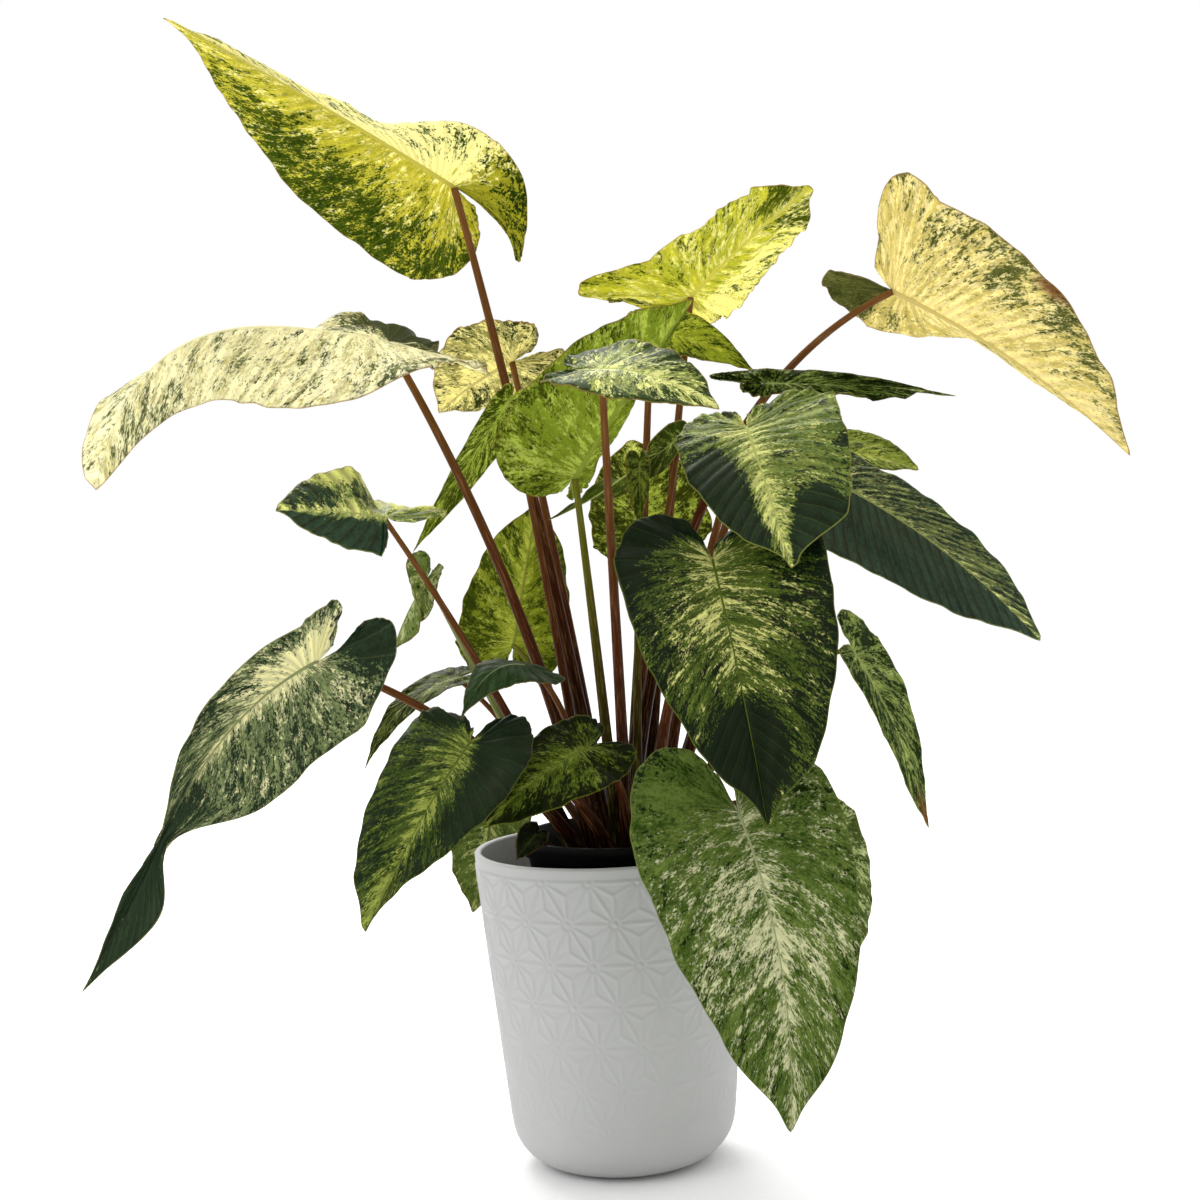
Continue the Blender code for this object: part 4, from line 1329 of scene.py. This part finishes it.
@dataclass
class PottingMix:
    """The crumbly potting mix, with perlite grains and bark chips on it."""

    pot: NurseryPot
    top: float
    low: float
    grains: int = 110
    chips: int = 60
    rings: int = 34
    lump_size: float = 9.0 * MM
    lump_height: float = 2.4 * MM
    # The crumbled top lies this much lower, and the grains keep clear of the wall.
    settled: float = 1.0 * MM
    clear: float = 4.0 * MM

    def height(self, x: float, y: float) -> float:
        """Lumpy height of the mix over its plain top."""
        return self.lump_height * noise.fractal(Vector((x, y, 0.0)) / self.lump_size, 0.7, 2.1, 4)

    def bed(self) -> None:
        """Turn the root ball and crumble its top."""
        inset = self.pot.wall + GAP
        edge = self.pot.radius(self.top, inset)
        profile = [(edge * i / self.rings, self.top) for i in range(self.rings + 1)]
        profile += [(self.pot.radius(self.low, inset), self.low), (0, self.low)]
        shape = turned(profile, 120, self.pot.x)
        for vert in shape.verts:
            if vert.co.z > self.top - 0.01 * MM:
                lift = self.height(vert.co.x, vert.co.y)
                rim = math.hypot(vert.co.x - self.pot.x, vert.co.y) / edge
                vert.co.z += lift * (1 - 0.6 * rim ** 6) - self.settled
        add_piece("potting_mix", shape, [PEAT.material()], "soil", "soil")

    def scatter(self, name: str, count: int, sizes: Pair, flat: float, finish: Grained, seed: int) -> None:
        """Strew small lumps over the mix.

        Args:
            name: the piece's name.
            count: how many lumps.
            sizes: smallest and largest radius.
            flat: height of a lump over its width.
            finish: what the lumps are made of.
            seed: of their places.
        """
        draw = np.random.default_rng(seed)
        shape = bmesh.new()
        edge = self.pot.radius(self.top, self.pot.wall) - self.clear
        for _ in range(count):
            far, angle = edge * math.sqrt(draw.random()), draw.random() * 2 * math.pi
            x, y = self.pot.x + far * math.cos(angle), far * math.sin(angle)
            size = sizes[0] + (sizes[1] - sizes[0]) * draw.random() ** 2
            made = bmesh.ops.create_icosphere(shape, subdivisions=1, radius=size)["verts"]
            for vert in made:
                vert.co *= 0.75 + 0.5 * draw.random()
            squash = Matrix.Diagonal((1.0, 0.5 + 0.5 * draw.random(), flat)).to_4x4()
            turn = Matrix.Rotation(draw.random() * math.pi, 4, "Z")
            tilt = turn @ Matrix.Rotation(0.4 * draw.random(), 4, "X")
            spot = Matrix.Translation((x, y, self.top + self.height(x, y) - self.settled / 2))
            bmesh.ops.transform(shape, matrix=spot @ tilt @ squash, verts=made)
        add_piece(name, shape, [finish.material()], "soil")

    def build(self) -> None:
        """Build the bed, the perlite and the bark."""
        self.bed()
        self.scatter("perlite", self.grains, (0.8 * MM, 2.2 * MM), 0.8, PERLITE, 7)
        self.scatter("bark", self.chips, (2.0 * MM, 6.0 * MM), 0.3, BARK, 11)


# ---------------------------------------------------------------- studio


@dataclass
class Studio:
    """A pale floor, soft light from above and behind, and the camera."""

    eye: Triple = (0.0008, -1.550, 0.490)
    lens: float = 67.5
    sensor: float = 36.0
    pitch: float = 3.67
    roll: float = -2.84
    floor_size: float = 40.0
    # Light of the room: all round, more from behind (less in front), and more from above.
    around: float = 0.66
    behind: float = 0.3
    above: float = 0.6

    def floor(self) -> None:
        """Lay the floor just below the pot."""
        shape = bmesh.new()
        bmesh.ops.create_grid(shape, x_segments=1, y_segments=1, size=self.floor_size / 2)
        bmesh.ops.translate(shape, vec=(0, 0, -0.1 * MM), verts=shape.verts)
        add_object("studio_floor", shape, [PAPER.material()])

    def sky(self) -> None:
        """Surround everything with white light, softer in front than behind and above."""
        world = bpy.data.worlds.new("white_room")
        world.use_nodes = True
        tree = world.node_tree
        tree.nodes.clear()
        toward = add_node(tree, "TexCoord", {}).outputs["Generated"]
        _, back, high = add_node(tree, "SeparateXYZ", {0: toward}).outputs
        over = add_node(tree, "Math", {0: high, 1: 0.0}, operation="MAXIMUM")
        power = self.around
        for way, gain in ((back, self.behind), (over, self.above)):
            power = add_node(tree, "Math", {0: way, 1: gain, 2: power}, operation="MULTIPLY_ADD")
        light, plain = (
            add_node(tree, "Background", {"Color": "#ffffff", "Strength": strength})
            for strength in (power, 1.0))
        seen = add_node(tree, "LightPath", {}).outputs["Is Camera Ray"]
        both = add_node(tree, "MixShader", {0: seen, 1: light, 2: plain})
        add_node(tree, "OutputWorld", {"Surface": both})
        bpy.context.scene.world = world

    @staticmethod
    def hang(name: str, data: bpy.types.ID, place: Triple, turn: Quaternion) -> bpy.types.Object:
        """Put a lamp or the camera in its place.

        Args:
            name: its name.
            data: its light or camera.
            place: where it hangs.
            turn: how it is turned.

        Returns:
            The new object.
        """
        made = bpy.data.objects.new(name, data)
        made.location = place
        made.rotation_mode = "QUATERNION"
        made.rotation_quaternion = turn
        bpy.context.scene.collection.objects.link(made)
        return made

    def lamp(self, name: str, place: Triple, target: Triple, size: float, power: float) -> None:
        """Hang a square soft box.

        Args:
            name: the lamp's name.
            place: where it hangs.
            target: what it is turned to.
            size: side of the box in metres.
            power: in watts.
        """
        data = bpy.data.lights.new(name, "AREA")
        data.shape = "SQUARE"
        data.size = size
        data.energy = power
        self.hang(name, data, place, (Vector(target) - Vector(place)).to_track_quat("-Z", "Y"))

    def camera(self) -> None:
        """Set up the camera."""
        data = bpy.data.cameras.new("camera")
        data.lens = self.lens
        data.sensor_width = self.sensor
        turn = (Matrix.Rotation(math.radians(90 - self.pitch), 4, "X")
                @ Matrix.Rotation(math.radians(self.roll), 4, "Z"))
        bpy.context.scene.camera = self.hang("camera", data, self.eye, turn.to_quaternion())

    def build(self) -> None:
        """Set the stage."""
        self.floor()
        self.sky()
        self.lamp("back_box", (-0.5, 1.6, 2.2), (0, 0, 0.5), 1.6, 45.0)
        self.lamp("left_box", (-1.6, -1.2, 1.6), (0, 0, 0.4), 1.2, 12.0)
        self.camera()
        bpy.context.scene.view_settings.view_transform = "Standard"


def main() -> None:
    """Build the whole plant and its studio."""
    logging.basicConfig(level=logging.INFO, format="%(name)s: %(message)s")
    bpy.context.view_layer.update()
    _, pot_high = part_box("pot")
    liner_low, liner_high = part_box("grower_pot")
    soil_low, soil_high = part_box("soil")
    CoverPot(pot_high.z, pot_high.x).build()
    nursery = NurseryPot(liner_high.z, (liner_high.x - liner_low.x) / 2 - NurseryPot.bead)
    nursery.build()
    PottingMix(nursery, soil_high.z, soil_low.z).build()
    Foliage(LEAVES).build()
    Studio().build()


if __name__ == "__main__":
    main()
